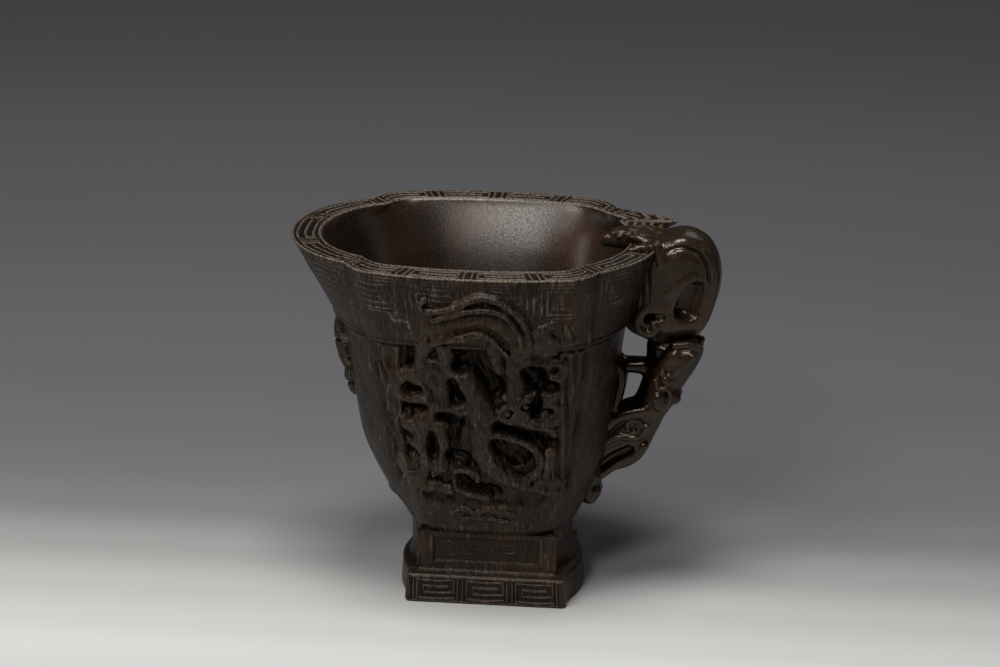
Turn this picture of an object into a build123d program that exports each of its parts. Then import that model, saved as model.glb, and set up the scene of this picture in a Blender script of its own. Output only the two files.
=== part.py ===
from build123d import *
import os
from collections import namedtuple

# Carved horn drinking cup. Millimetres, +Z up, the handle towards +X and the front towards -Y.
# The origin is the middle of the plinth's underside.

# Heights of the stacked zones
PLINTH_HEIGHT = 9.0
COVE_HEIGHT = 1.5
STEM_HEIGHT = 11.5
BODY_HEIGHT = 65.5
NECK_HEIGHT = 23.8

# Plan of the rim: reach of the side lobes, of the front lobe, and place of the creases between them
RIM_LEFT = 60.0
RIM_RIGHT = 50.0
RIM_FRONT = 39.5
RIM_CREASE_LEFT = 40.0
RIM_CREASE_RIGHT = 34.5
RIM_CREASE_FRONT = 28.5
RIM_WIDTH = 9.0
RIM_FRONT_WIDTH = 7.8
RIM_BORDER = 0.7
RIM_LIP = 1.0
RIM_SUNK = 0.45
RIM_TIP_REACH = 3.6
RIM_TIP_LENGTH = 11.0
RIM_TIP_ROOT = 2.5
RIM_TIP_DEPTH = 7.0
RIM_TIP_TAPER = 20.0

# Plan of the body just under the ledge
SHOULDER_LEFT = 45.0
SHOULDER_RIGHT = 40.0
SHOULDER_FRONT = 32.0
SHOULDER_CREASE_LEFT = 33.0
SHOULDER_CREASE_RIGHT = 31.0
SHOULDER_CREASE_FRONT = 24.0
LEDGE_STEP = 1.8

# Plan of the body where it meets the foot
WAIST_SIDE = 24.4
WAIST_FRONT = 17.6
WAIST_CREASE_SIDE = 20.5
WAIST_CREASE_FRONT = 12.0

# Cavity
FLOOR_ABOVE_WAIST = 24.0
FLOOR_WALL = 10.5

# Plug that closes the hollow horn, and the shelf it sits on
PLUG_THICKNESS = 9.0
PLUG_SHELF = 2.0
PLUG_GAP = 0.1

# Sunk panels in front and behind, and the relief that rises from them
PANEL_HALF_WIDTH = 24.0
PANEL_TAPER = 5.5
PANEL_FOOT = 11.0
PANEL_DEPTH = 1.2
RELIEF_RISE = 2.4
NECK_RELIEF_RISE = 1.6
SCROLL_RADIUS = 3.6
SCROLL_EYE = 1.3

# Foot
STEM_HALF_WIDTH = 21.2
STEM_FRONT = 17.0
STEM_SIDE = 24.4
STEM_CREASE_INSET = 1.6
STEM_CREASE_FRONT = 11.5
STEM_PANEL_WIDTH = 31.4
STEM_PANEL_HEIGHT = 7.5
STEM_PANEL_DEPTH = 0.6
PLINTH_SPREAD = 3.2
PLINTH_DRAFT = 1.1
PLINTH_SHOULDER = 1.0
PLINTH_CREASE_INSET = 0.4

# Tenons of the foot
TENON_WIDTH = 24.0
TENON_DEPTH = 14.0
UPPER_TENON = 8.0
LOWER_TENON = 6.0
TENON_RADIUS = 3.0
TENON_GAP = 0.1
TENON_END_GAP = 0.3

# Handle
HANDLE_REACH = 17.5
SCROLL_DROP = 30.3
HANDLE_HALF_WIDTH = 8.0
PIT_RADIUS = 5.0
PIT_EYE = 2.0
PIT_DEPTH = 4.5
BRANCH_HALF_WIDTH = 5.6
BRANCH_FOOT_RISE = 10.0
STRUT_RADIUS = 1.8
NECK_PEG_DROP = 11.0
BODY_PEG_RISE = 10.0
JOINT_PEG_REACH = 3.5
PEG_RADIUS = 1.5
PEG_LENGTH = 12.0
PEG_GAP = 0.05
PEG_END_GAP = 0.25

# Small dragon under the spout
SPOUT_DRAGON_HALF_WIDTH = 5.0
SPOUT_DRAGON_RISE = 4.6
SPOUT_DRAGON_HEIGHT = 29.0

# Curve shape: how fast the body swells and the mouth opens, and how round the lobes' corners are
SIDE_LEAN = 0.45
SIDE_KNEE = 0.44
SIDE_TURN = 1.7
FRONT_SWELL = 0.75
NECK_FLARE = 0.7
NECK_SIDE_FLARE = 1.0
MOUTH_FLARE = 2.2
CREASE_FOLLOW = 0.75
MOUTH_CREASE_FOLLOW = 0.55
CORNER_RUN = 0.12
CORNER_DROP = 0.27
CORNER_BULGE = 0.12

# Levels
COVE_Z = PLINTH_HEIGHT
STEM_Z = COVE_Z + COVE_HEIGHT
WAIST_Z = STEM_Z + STEM_HEIGHT
LEDGE_Z = WAIST_Z + BODY_HEIGHT
RIM_Z = LEDGE_Z + NECK_HEIGHT
FLOOR_Z = WAIST_Z + FLOOR_ABOVE_WAIST
SHELF_Z = FLOOR_Z - PLUG_THICKNESS
JOINT_Z = RIM_Z - SCROLL_DROP
FAR = 2 * (RIM_LEFT + RIM_RIGHT)

Lobes = namedtuple("Lobes", "left right front crease_left crease_right crease_front")

RIM = Lobes(RIM_LEFT, RIM_RIGHT, RIM_FRONT, RIM_CREASE_LEFT, RIM_CREASE_RIGHT, RIM_CREASE_FRONT)
SHOULDER = Lobes(
    SHOULDER_LEFT,
    SHOULDER_RIGHT,
    SHOULDER_FRONT,
    SHOULDER_CREASE_LEFT,
    SHOULDER_CREASE_RIGHT,
    SHOULDER_CREASE_FRONT,
)
WAIST = Lobes(
    WAIST_SIDE, WAIST_SIDE, WAIST_FRONT, WAIST_CREASE_SIDE, WAIST_CREASE_SIDE, WAIST_CREASE_FRONT
)


def grown(plan, amount, follow=CREASE_FOLLOW):
    """The plan with every lobe pushed out by amount, and the creases following in part."""
    crease = follow * amount
    return Lobes(
        plan.left + amount,
        plan.right + amount,
        plan.front + amount,
        plan.crease_left + crease,
        plan.crease_right + crease,
        plan.crease_front + crease,
    )


def between(low, high, side_share, front_share):
    """A plan part of the way from low to high, the side lobes by one share and the rest by another."""
    shares = (side_share, side_share, front_share, front_share, front_share, front_share)
    return Lobes(*(a + share * (b - a) for a, b, share in zip(low, high, shares)))


def lobed_face(plan, z):
    """Flat face of a lobed plan at height z: four lobes that meet at four creases."""
    run = CORNER_RUN * (plan.crease_left + plan.crease_right)
    corner_y = plan.front - CORNER_DROP * (plan.front - plan.crease_front)
    left = run - plan.crease_left
    right = plan.crease_right - run
    middle = (left + right) / 2

    def corner(x, crease_x, side):
        """Rounded corner of the front or back lobe, from x to its crease."""
        start = Vector(x, side * corner_y)
        end = Vector(crease_x, side * plan.crease_front)
        chord = end - start
        outward = Vector(chord.Y, -chord.X)
        if outward.Y * side < 0:
            outward = -outward
        return ThreePointArc(start, (start + end) * 0.5 + outward * CORNER_BULGE, end)

    def side_lobe(crease_x, tip_x):
        """Round lobe at one end of the plan."""
        return ThreePointArc(
            (crease_x, -plan.crease_front), (tip_x, 0), (crease_x, plan.crease_front)
        )

    edges = [side_lobe(plan.crease_right, plan.right), side_lobe(-plan.crease_left, -plan.left)]
    for side in (-1, 1):
        y = side * corner_y
        edges.append(ThreePointArc((left, y), (middle, side * plan.front), (right, y)))
        edges.append(corner(right, plan.crease_right, side))
        edges.append(corner(left, -plan.crease_left, side))
    return Pos(0, 0, z) * make_face(edges)


def side_swell(share):
    """How far the side lobes have swelled at a share of the body's height: fast up to the knee."""
    below_knee = max(0.0, 1 - share / SIDE_KNEE)
    return SIDE_LEAN * share + (1 - SIDE_LEAN) * (1 - below_knee**SIDE_TURN)


def body_plan(z, rise=0.0):
    """Plan of the body at height z, pushed out by rise."""
    share = (z - WAIST_Z) / BODY_HEIGHT
    return grown(between(WAIST, SHOULDER, side_swell(share), share**FRONT_SWELL), rise)


def neck_plan(z, rise=0.0):
    """Plan of the flared neck at height z, pushed out by rise."""
    share = (z - LEDGE_Z) / NECK_HEIGHT
    ledge = grown(SHOULDER, LEDGE_STEP)
    return grown(between(ledge, RIM, share**NECK_SIDE_FLARE, share**NECK_FLARE), rise)


def rim_plan(share):
    """Plan on the flat rim, from its outer edge at 0 to its mouth at 1."""
    inset = grown(RIM, -share * RIM_WIDTH, MOUTH_CREASE_FOLLOW)
    return inset._replace(front=RIM_FRONT - share * RIM_FRONT_WIDTH)


def cavity_plan(z):
    """Plan of the cavity at height z."""
    share = ((z - FLOOR_Z) / (RIM_Z - FLOOR_Z)) ** MOUTH_FLARE
    floor = grown(body_plan(FLOOR_Z), -FLOOR_WALL, MOUTH_CREASE_FOLLOW)
    return between(floor, rim_plan(1.0), share, share)


def lofted(plan_at, low, high, steps, crowd):
    """Solid through plan_at's outlines from low to high, closer together near low if crowd is over 1."""
    heights = [low + (high - low) * (step / steps) ** crowd for step in range(steps + 1)]
    return loft([lobed_face(plan_at(z), z) for z in heights])


def body_solid(rise=0.0):
    return lofted(lambda z: body_plan(z, rise), WAIST_Z, LEDGE_Z, 10, 1.5)


def neck_solid(rise=0.0):
    return lofted(lambda z: neck_plan(z, rise), LEDGE_Z, RIM_Z, 4, 1.0)


def side_view(points):
    """Closed smooth outline drawn in the XZ plane."""
    return Plane.XZ * make_face(Spline(points, periodic=True))


def through(face):
    """The outline pushed right through the part, along Y."""
    return extrude(face, FAR, both=True)


def forward(face):
    """The outline pushed out towards the front from the middle plane."""
    return extrude(face, FAR, dir=(0, -1, 0))


def peg_line(x, z, direction, gap=0.0):
    """A peg on the middle plane, centred at (x, z), along X or Z; gap makes it the hole for one."""
    length = PEG_LENGTH + 2 * (PEG_END_GAP if gap else 0.0)
    plane = Plane(origin=(x, 0, z), z_dir=direction)
    return plane * Cylinder(PEG_RADIUS + gap, length)


# Foot: front faces flat, with a return to a crease on each side and a round lobe at each end.
def foot_face(half_width, front, side, inset, z):
    crease_x = half_width - inset
    crease_y = front - (STEM_FRONT - STEM_CREASE_FRONT)
    edges = []
    for end in (-1, 1):
        edges.append(
            ThreePointArc((end * crease_x, -crease_y), (end * side, 0), (end * crease_x, crease_y))
        )
        edges.append(Line((-half_width, end * front), (half_width, end * front)))
        for face in (-1, 1):
            corner = (end * half_width, face * front)
            edges.append(Line(corner, (end * crease_x, face * crease_y)))
    return Pos(0, 0, z) * make_face(edges)


def stepped_face(spread, z, inset=STEM_CREASE_INSET):
    return foot_face(STEM_HALF_WIDTH + spread, STEM_FRONT + spread, STEM_SIDE + spread, inset, z)


def tenon(low, high, gap=0.0):
    """Tenon between two levels; gap makes it the mortise for one."""
    outline = RectangleRounded(TENON_WIDTH + 2 * gap, TENON_DEPTH + 2 * gap, TENON_RADIUS + gap)
    return extrude(Pos(0, 0, low) * outline, high - low)


def make_plinth():
    edge = PLINTH_SPREAD - PLINTH_DRAFT
    bottom = stepped_face(PLINTH_SPREAD, 0, PLINTH_CREASE_INSET)
    block = loft([bottom, stepped_face(edge, COVE_Z, PLINTH_CREASE_INSET)])
    cove = loft([stepped_face(edge - PLINTH_SHOULDER, COVE_Z), stepped_face(0, STEM_Z)])
    mortise = tenon(STEM_Z - LOWER_TENON - TENON_END_GAP, STEM_Z, TENON_GAP)
    return block + cove - mortise


def make_foot_stem():
    block = extrude(stepped_face(0, STEM_Z), STEM_HEIGHT)
    panel = Box(STEM_PANEL_WIDTH, 2 * STEM_PANEL_DEPTH, STEM_PANEL_HEIGHT)
    for face in (-1, 1):
        block -= Pos(0, face * STEM_FRONT, STEM_Z + STEM_HEIGHT / 2) * panel
    block += tenon(STEM_Z - LOWER_TENON, STEM_Z)
    return block + tenon(WAIST_Z, WAIST_Z + UPPER_TENON)


# Bowl
def panel_cut():
    """What is cut away to sink the front panel below the body's surface."""
    foot = WAIST_Z + PANEL_FOOT
    narrow = PANEL_HALF_WIDTH - PANEL_TAPER
    outline = Polyline(
        (-PANEL_HALF_WIDTH, LEDGE_Z),
        (PANEL_HALF_WIDTH, LEDGE_Z),
        (narrow, foot),
        (-narrow, foot),
        close=True,
    )
    return forward(Plane.XZ * make_face(outline)) - body_solid(-PANEL_DEPTH)


def rim_tip():
    """Pointed end of the rim behind the handle."""
    root_x = RIM_CREASE_RIGHT - RIM_WIDTH / 2
    tip_x = RIM_RIGHT + RIM_TIP_REACH
    tip_y = RIM_CREASE_FRONT - RIM_WIDTH
    outline = Polyline(
        (root_x, RIM_CREASE_FRONT + RIM_TIP_ROOT),
        (tip_x, tip_y),
        (tip_x - RIM_TIP_LENGTH, tip_y - RIM_TIP_ROOT),
        (root_x, tip_y),
        close=True,
    )
    top = Pos(0, 0, RIM_Z) * make_face(outline)
    return extrude(top, RIM_TIP_DEPTH, dir=(0, 0, -1), taper=RIM_TIP_TAPER)


def make_blank():
    """The bowl's outside, before it is hollowed."""
    front = panel_cut()
    blank = body_solid() - front - mirror(front, Plane.XZ)
    blank += neck_solid()
    return blank + rim_tip()


def rim_ground():
    """What is cut away to sink the rim's band between its border and its lip."""
    outer = lobed_face(rim_plan(RIM_BORDER / RIM_WIDTH), RIM_Z - RIM_SUNK)
    inner = lobed_face(rim_plan(1 - RIM_LIP / RIM_WIDTH), RIM_Z - RIM_SUNK)
    return extrude(outer - inner, 2 * RIM_SUNK, dir=(0, 0, 1))


def make_bowl(blank):
    shell = blank - lofted(cavity_plan, FLOOR_Z, RIM_Z, 7, 1.0)
    shell -= rim_ground()
    for hole in pegs(PEG_GAP):
        shell -= hole
    seat = grown(cavity_plan(FLOOR_Z), -PLUG_SHELF)
    shell -= extrude(lobed_face(seat, SHELF_Z), PLUG_THICKNESS)
    shell -= tenon(WAIST_Z, SHELF_Z, TENON_GAP)
    return shell


def make_floor_plug():
    seat = grown(cavity_plan(FLOOR_Z), -PLUG_SHELF - PLUG_GAP)
    return extrude(lobed_face(seat, SHELF_Z), PLUG_THICKNESS)


# Reliefs. Their outlines are drawn on the panel: across in half widths, up in heights of the body.
ARCH_DRAGON = [
    (-0.58, 1.02), (-0.62, 1.11), (-0.70, 1.19), (-0.66, 1.24), (-0.46, 1.225), (-0.25, 1.24),
    (0.00, 1.28), (0.25, 1.275), (0.46, 1.235), (0.65, 1.165), (0.75, 1.08), (0.73, 1.00),
    (0.65, 0.92), (0.54, 0.84), (0.44, 0.79), (0.34, 0.80), (0.33, 0.86), (0.38, 0.93),
    (0.32, 0.99), (0.20, 1.035), (0.04, 1.06), (-0.21, 1.045), (-0.42, 1.025),
]
CLIMBING_DRAGON = [
    (-0.56, 0.88), (-0.35, 0.90), (-0.12, 0.82), (0.08, 0.72), (0.33, 0.72), (0.60, 0.71),
    (0.67, 0.65), (0.43, 0.61), (0.46, 0.56), (0.70, 0.53), (0.79, 0.43), (0.74, 0.31),
    (0.56, 0.25), (0.50, 0.31), (0.63, 0.40), (0.54, 0.47), (0.30, 0.50), (0.21, 0.43),
    (0.29, 0.36), (0.36, 0.28), (0.14, 0.25), (-0.10, 0.31), (-0.23, 0.43), (-0.21, 0.58),
    (-0.36, 0.73), (-0.55, 0.80),
]
SCROLLS = [(-0.72, 0.75), (-0.66, 0.38), (0.84, 0.90), (0.80, 0.74)]


def panel_point(across, up):
    return (across * PANEL_HALF_WIDTH, WAIST_Z + up * BODY_HEIGHT)


def relief(face, blank):
    """Front relief with the given outline, standing on the bowl's outside."""
    block = forward(face)
    body_part = block & body_solid(RELIEF_RISE)
    neck_part = block & neck_solid(NECK_RELIEF_RISE)
    return body_part + neck_part - blank


def make_reliefs(blank):
    """Front reliefs by name, and the same behind."""
    arch = relief(side_view([panel_point(*point) for point in ARCH_DRAGON]), blank)
    climbing = relief(side_view([panel_point(*point) for point in CLIMBING_DRAGON]), blank)
    ring = Circle(SCROLL_RADIUS) - Circle(SCROLL_EYE)
    scrolls = []
    for point in SCROLLS:
        scrolls += relief(Plane.XZ * Pos(*panel_point(*point)) * ring, blank).solids()
    front = {"arch_dragon": arch, "climbing_dragon": climbing, "scrolls": Compound(scrolls)}
    nodes = {}
    for name, shape in front.items():
        nodes[f"front_{name}"] = shape
        nodes[f"back_{name}"] = mirror(shape, Plane.XZ)
    return nodes


def waisted(points):
    """Face between a smooth edge and its mirror image, from (place, half width) pairs along local X."""
    edges = []
    for side in (-1, 1):
        edges.append(Spline([(place, side * half) for place, half in points]))
    for place, half in (points[0], points[-1]):
        edges.append(Line((place, -half), (place, half)))
    return make_face(edges)


FROM_BASE = (Align.CENTER, Align.CENTER, Align.MIN)
UPRIGHT = Plane(origin=(0, 0, 0), x_dir=(0, 0, 1), z_dir=(1, 0, 0))


def make_spout_dragon(blank):
    low = LEDGE_Z - SPOUT_DRAGON_HEIGHT
    half = SPOUT_DRAGON_HALF_WIDTH
    rows = [(0.0, 0.4), (0.2, 0.9), (0.5, 0.7), (0.8, 1.0), (1.0, 0.8)]
    points = [(low + share * SPOUT_DRAGON_HEIGHT, width * half) for share, width in rows]
    block = extrude(UPRIGHT * waisted(points), FAR, dir=(-1, 0, 0))
    return (block & body_solid(SPOUT_DRAGON_RISE)) - blank


# Handle. Its outlines go along X in reaches from the rim's right end.
# Side view of the scroll, up from the rim in drops of the scroll
ARCH_SIDE = [
    (-1.01, 0.04), (-0.89, 0.13), (-0.63, 0.17), (-0.34, 0.14), (-0.09, 0.11), (0.31, 0.165),
    (0.66, 0.12), (0.91, -0.08), (1.00, -0.34), (0.89, -0.64), (0.69, -0.88), (0.34, -1.03),
    (-0.17, -1.02), (-0.37, -0.87), (-0.42, -0.70), (-0.46, -0.47), (-0.40, -0.17), (-0.57, -0.04),
    (-0.86, -0.02),
]
# Half widths of the scroll's top view along X, and of its end view along Z, in handle half widths
ARCH_TOP = [
    (-1.06, 0.1), (-0.91, 0.5), (-0.63, 0.65), (-0.40, 0.75), (-0.23, 1.2), (0.00, 1.1),
    (0.29, 1.0), (0.63, 0.95), (0.91, 0.75), (1.06, 0.4),
]
ARCH_END = [(-1.1, 0.75), (-0.7, 0.9), (-0.3, 1.0), (-0.05, 1.25), (0.08, 0.95), (0.22, 0.45)]
# Side view of the branch, up from its foot in heights of the branch, and half widths of its end view
BRANCH_SIDE = [
    (-1.30, -0.10), (-1.14, -0.105), (-1.02, -0.05), (-0.985, 0.03), (-0.77, 0.105), (-0.48, 0.16),
    (-0.23, 0.26), (-0.04, 0.378), (0.10, 0.465), (0.27, 0.547), (0.36, 0.633), (0.55, 0.747),
    (0.70, 0.833), (0.74, 0.898), (0.69, 0.967), (0.49, 1.03), (0.00, 1.03), (-0.27, 0.97),
    (-0.25, 0.898), (-0.33, 0.80), (-0.40, 0.722), (-0.47, 0.645), (-0.64, 0.575), (-0.83, 0.476),
    (-1.14, 0.367), (-1.31, 0.163),
]
BRANCH_END = [
    (-0.13, 0.5), (0.0, 0.8), (0.2, 1.15), (0.5, 0.9), (0.75, 0.9), (0.9, 1.1), (1.05, 0.95),
]
STRUT_UP = 0.815
PIT_PLACE = (0.50, -0.545)

BRANCH_FOOT_Z = WAIST_Z + BRANCH_FOOT_RISE
BRANCH_HEIGHT = JOINT_Z - BRANCH_FOOT_Z


def pegs(gap=0.0):
    """Dowels of the handle; gap makes them their holes."""
    neck_z = RIM_Z - NECK_PEG_DROP
    body_z = BRANCH_FOOT_Z + BODY_PEG_RISE
    return [
        peg_line(neck_plan(neck_z).right, neck_z, (1, 0, 0), gap),
        peg_line(RIM_RIGHT + JOINT_PEG_REACH, JOINT_Z, (0, 0, 1), gap),
        peg_line(body_plan(body_z).right, body_z, (1, 0, 0), gap),
    ]


def above_joint():
    """Everything above the level where the scroll stands on the branch."""
    return Pos(0, 0, JOINT_Z) * Box(FAR, FAR, FAR, align=FROM_BASE)


def handle_x(out):
    return RIM_RIGHT + out * HANDLE_REACH


def scroll_z(up):
    return RIM_Z + up * SCROLL_DROP


def make_handle_arch(bowl):
    side = side_view([(handle_x(out), scroll_z(up)) for out, up in ARCH_SIDE])
    top = waisted([(handle_x(out), share * HANDLE_HALF_WIDTH) for out, share in ARCH_TOP])
    end = waisted([(scroll_z(up), share * HANDLE_HALF_WIDTH) for up, share in ARCH_END])
    arch = through(side) & extrude(top, FAR, both=True)
    arch &= extrude(UPRIGHT * end, FAR, both=True)
    arch &= above_joint()
    arch -= bowl
    pit_out, pit_up = PIT_PLACE
    pit = Cone(PIT_RADIUS, PIT_EYE, PIT_DEPTH, align=FROM_BASE)
    for face in (-1, 1):
        mouth = (handle_x(pit_out), face * HANDLE_HALF_WIDTH, scroll_z(pit_up))
        arch -= Plane(origin=mouth, z_dir=(0, -face, 0)) * pit
    for hole in pegs(PEG_GAP):
        arch -= hole
    return arch


def branch_z(up):
    return BRANCH_FOOT_Z + up * BRANCH_HEIGHT


def make_handle_branch(blank):
    side = side_view([(handle_x(out), branch_z(up)) for out, up in BRANCH_SIDE])
    end = waisted([(branch_z(up), share * BRANCH_HALF_WIDTH) for up, share in BRANCH_END])
    branch = through(side) & extrude(UPRIGHT * end, FAR, both=True)
    reach = RIM_RIGHT - SHOULDER_RIGHT / 2
    strut = Plane(origin=(SHOULDER_RIGHT / 2, 0, branch_z(STRUT_UP)), z_dir=(1, 0, 0))
    branch += strut * Cylinder(STRUT_RADIUS, reach, align=FROM_BASE)
    branch -= above_joint()
    branch -= blank
    for hole in pegs(PEG_GAP):
        branch -= hole
    return branch


if __name__ == "__main__":
    os.makedirs("parts", exist_ok=True)
    blank = make_blank()
    bowl = make_bowl(blank)
    nodes = {
        "bowl": bowl,
        "floor_plug": make_floor_plug(),
        "foot_stem": make_foot_stem(),
        "plinth": make_plinth(),
        "handle_arch": make_handle_arch(bowl),
        "handle_branch": make_handle_branch(blank),
        "handle_pegs": Compound(pegs()),
        "spout_dragon": make_spout_dragon(blank),
        **make_reliefs(blank),
    }
    for name, shape in nodes.items():
        export_step(shape, f"parts/{name}.step")
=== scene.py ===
import math
from collections import namedtuple

import bpy
import numpy as np
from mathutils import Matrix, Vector


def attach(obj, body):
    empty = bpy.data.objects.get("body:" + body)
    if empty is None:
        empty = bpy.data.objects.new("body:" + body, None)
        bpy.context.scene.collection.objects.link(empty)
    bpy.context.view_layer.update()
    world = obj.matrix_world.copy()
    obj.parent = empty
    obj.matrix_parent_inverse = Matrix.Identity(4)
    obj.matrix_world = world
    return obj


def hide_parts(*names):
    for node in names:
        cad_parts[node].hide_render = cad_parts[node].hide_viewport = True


# Carved horn drinking cup, dressed over its solids.
# Shapes are worked out in millimetres in the part's own frame and written in metres.
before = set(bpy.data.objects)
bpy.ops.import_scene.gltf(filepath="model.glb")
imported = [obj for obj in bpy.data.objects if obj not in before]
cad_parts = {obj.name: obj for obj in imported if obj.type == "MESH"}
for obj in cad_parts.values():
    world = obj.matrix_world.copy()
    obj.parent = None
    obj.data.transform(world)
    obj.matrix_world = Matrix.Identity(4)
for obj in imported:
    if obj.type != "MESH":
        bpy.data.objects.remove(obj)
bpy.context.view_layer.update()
MM = 0.001
BODY = "root"

# Levels
COVE_Z = 9.0
STEM_Z = 10.5
WAIST_Z = 22.0
SHELF_Z = 37.0
FLOOR_Z = 46.0
LEDGE_Z = 87.5
RIM_Z = 111.3

# Plans of the lobed bowl, as in the solids
Lobes = namedtuple("Lobes", "left right front crease_left crease_right crease_front")
RIM = Lobes(60.0, 50.0, 39.5, 40.0, 34.5, 28.5)
SHOULDER = Lobes(45.0, 40.0, 32.0, 33.0, 31.0, 24.0)
WAIST = Lobes(24.4, 24.4, 17.6, 20.5, 20.5, 12.0)
LEDGE_STEP = 1.8
RIM_WIDTH = 9.0
RIM_FRONT_WIDTH = 7.8
FLOOR_WALL = 10.5
PLUG_SHELF = 2.0
PLUG_GAP = 0.1
CREASE_FOLLOW = 0.75
MOUTH_CREASE_FOLLOW = 0.55
CORNER_RUN = 0.12
CORNER_DROP = 0.27
CORNER_BULGE = 0.12
SIDE_LEAN = 0.45
SIDE_KNEE = 0.44
SIDE_TURN = 1.7
FRONT_SWELL = 0.75
NECK_FLARE = 0.7
NECK_SIDE_FLARE = 1.0
MOUTH_FLARE = 2.2
TENON_HALF = (12.1, 7.1)
TENON_SQUARENESS = 8.0

# Sunk panels in front and behind
PANEL_HALF_WIDTH = 24.0
PANEL_NARROW = 18.5
PANEL_FOOT_Z = 33.0
PANEL_DEPTH = 1.2
PANEL_EDGE = 0.9

# Points around the bowl: in each side lobe, each rounded corner and each of the front and back arcs
SIDE_STEPS = 180
CORNER_STEPS = 60
FRONT_STEPS = 280

# Distances are told apart up to FAR_OFF
FAR_OFF = 6.0
TINY = 1e-6


def smooth(low, high, value):
    """Smooth step from 0 at low to 1 at high."""
    t = np.clip((value - low) / (high - low), 0.0, 1.0)
    return t * t * (3 - 2 * t)


def fade(low, high, value):
    """Smooth step from 1 at low to 0 at high."""
    return 1 - smooth(low, high, value)


def hump(middle, half, value):
    """Smooth bump of height 1 at middle that ends half away."""
    return fade(0.0, half, np.abs(value - middle))


def grown(plan, amount, follow=CREASE_FOLLOW):
    """The plan with every lobe pushed out by amount, and the creases following in part."""
    steps = [amount] * 3 + [follow * amount] * 3
    return Lobes(*(size + step for size, step in zip(plan, steps)))


def between(low, high, side_share, front_share):
    """A plan part of the way from low to high, the side lobes by one share and the rest by another."""
    shares = [side_share] * 2 + [front_share] * 4
    return Lobes(*(a + share * (b - a) for a, b, share in zip(low, high, shares)))


def side_swell(share):
    """How far the side lobes have swelled at a share of the body's height: fast up to the knee."""
    below_knee = max(0.0, 1 - share / SIDE_KNEE)
    return SIDE_LEAN * share + (1 - SIDE_LEAN) * (1 - below_knee**SIDE_TURN)


def body_plan(z):
    share = (z - WAIST_Z) / (LEDGE_Z - WAIST_Z)
    return between(WAIST, SHOULDER, side_swell(share), share**FRONT_SWELL)


def neck_plan(z):
    share = (z - LEDGE_Z) / (RIM_Z - LEDGE_Z)
    return between(grown(SHOULDER, LEDGE_STEP), RIM, share**NECK_SIDE_FLARE, share**NECK_FLARE)


def rim_plan(share):
    """Plan on the flat rim, from its outer edge at 0 to its mouth at 1."""
    inset = grown(RIM, -share * RIM_WIDTH, MOUTH_CREASE_FOLLOW)
    return inset._replace(front=RIM.front - share * RIM_FRONT_WIDTH)


def cavity_plan(z):
    share = ((z - FLOOR_Z) / (RIM_Z - FLOOR_Z)) ** MOUTH_FLARE
    low = grown(body_plan(FLOOR_Z), -FLOOR_WALL, MOUTH_CREASE_FOLLOW)
    return between(low, rim_plan(1.0), share, share)


def arc(start, middle, end, count):
    """Points of the arc through three points, without its end."""
    a, b, c = (complex(*p) for p in (start, middle, end))
    ratio = (c - a) / (b - a)
    centre = a + (b - a) * (ratio - abs(ratio) ** 2) / (2j * ratio.imag)
    turn = np.angle((b - centre) / (a - centre)) + np.angle((c - centre) / (b - centre))
    points = centre + (a - centre) * np.exp(1j * turn * np.arange(count) / count)
    return np.column_stack([points.real, points.imag])


def lobe_corner(start, end):
    """Rounded corner of the front or back lobe."""
    bulge_x = (start[0] + end[0]) / 2 + CORNER_BULGE * (end[1] - start[1])
    bulge_y = (start[1] + end[1]) / 2 - CORNER_BULGE * (end[0] - start[0])
    return arc(start, (bulge_x, bulge_y), end, CORNER_STEPS)


def outline(plan):
    """Points around a lobed plan, anticlockwise from the front right crease."""
    run = CORNER_RUN * (plan.crease_left + plan.crease_right)
    drop = CORNER_DROP * (plan.front - plan.crease_front)
    left = run - plan.crease_left
    right = plan.crease_right - run
    middle = (left + right) / 2
    right_end = (plan.right, plan.crease_right, right)
    left_end = (-plan.left, -plan.crease_left, left)
    found = []
    for side, near, far in ((1, right_end, left_end), (-1, left_end, right_end)):
        tip_x, crease_x, corner_x = near
        crease = (crease_x, side * plan.crease_front)
        turn = (corner_x, side * (plan.front - drop))
        far_turn = (far[2], turn[1])
        found.append(arc((crease_x, -crease[1]), (tip_x, 0.0), crease, SIDE_STEPS))
        found.append(lobe_corner(crease, turn))
        found.append(arc(turn, (middle, side * plan.front), far_turn, FRONT_STEPS))
        found.append(lobe_corner(far_turn, (far[1], crease[1])))
    return np.vstack(found)


def outward(points):
    """Unit normals in plan of a closed anticlockwise outline."""
    along = np.roll(points, -1, 0) - np.roll(points, 1, 0)
    normals = np.column_stack([along[:, 1], -along[:, 0]])
    return normals / np.linalg.norm(normals, axis=1)[:, None]


def curve(points, per_span, closed=False):
    """Smooth curve through points of any dimension."""
    p = np.array(points, float)
    if closed:
        p = np.vstack([p[-1], p, p[:2]])
    else:
        p = np.vstack([2 * p[0] - p[1], p, 2 * p[-1] - p[-2]])
    t = np.linspace(0, 1, per_span, endpoint=False)[:, None]
    spans = []
    for a, b, c, d in zip(p, p[1:], p[2:], p[3:]):
        cubic = (3 * b - a - 3 * c + d) * t**3
        square = (2 * a - 5 * b + 4 * c - d) * t**2
        spans.append(0.5 * (2 * b + (c - a) * t + square + cubic))
    if not closed:
        spans.append(p[-2][None, :])
    return np.vstack(spans)


# Line drawings
Fret = namedtuple("Fret", "height pitch line gap")
LINE_SOFT = 0.18
FRET_WAVER = 0.16
FRET_BAR_PLACE = 0.4
FRET_BAR_OVERRUN = 0.3


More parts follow.
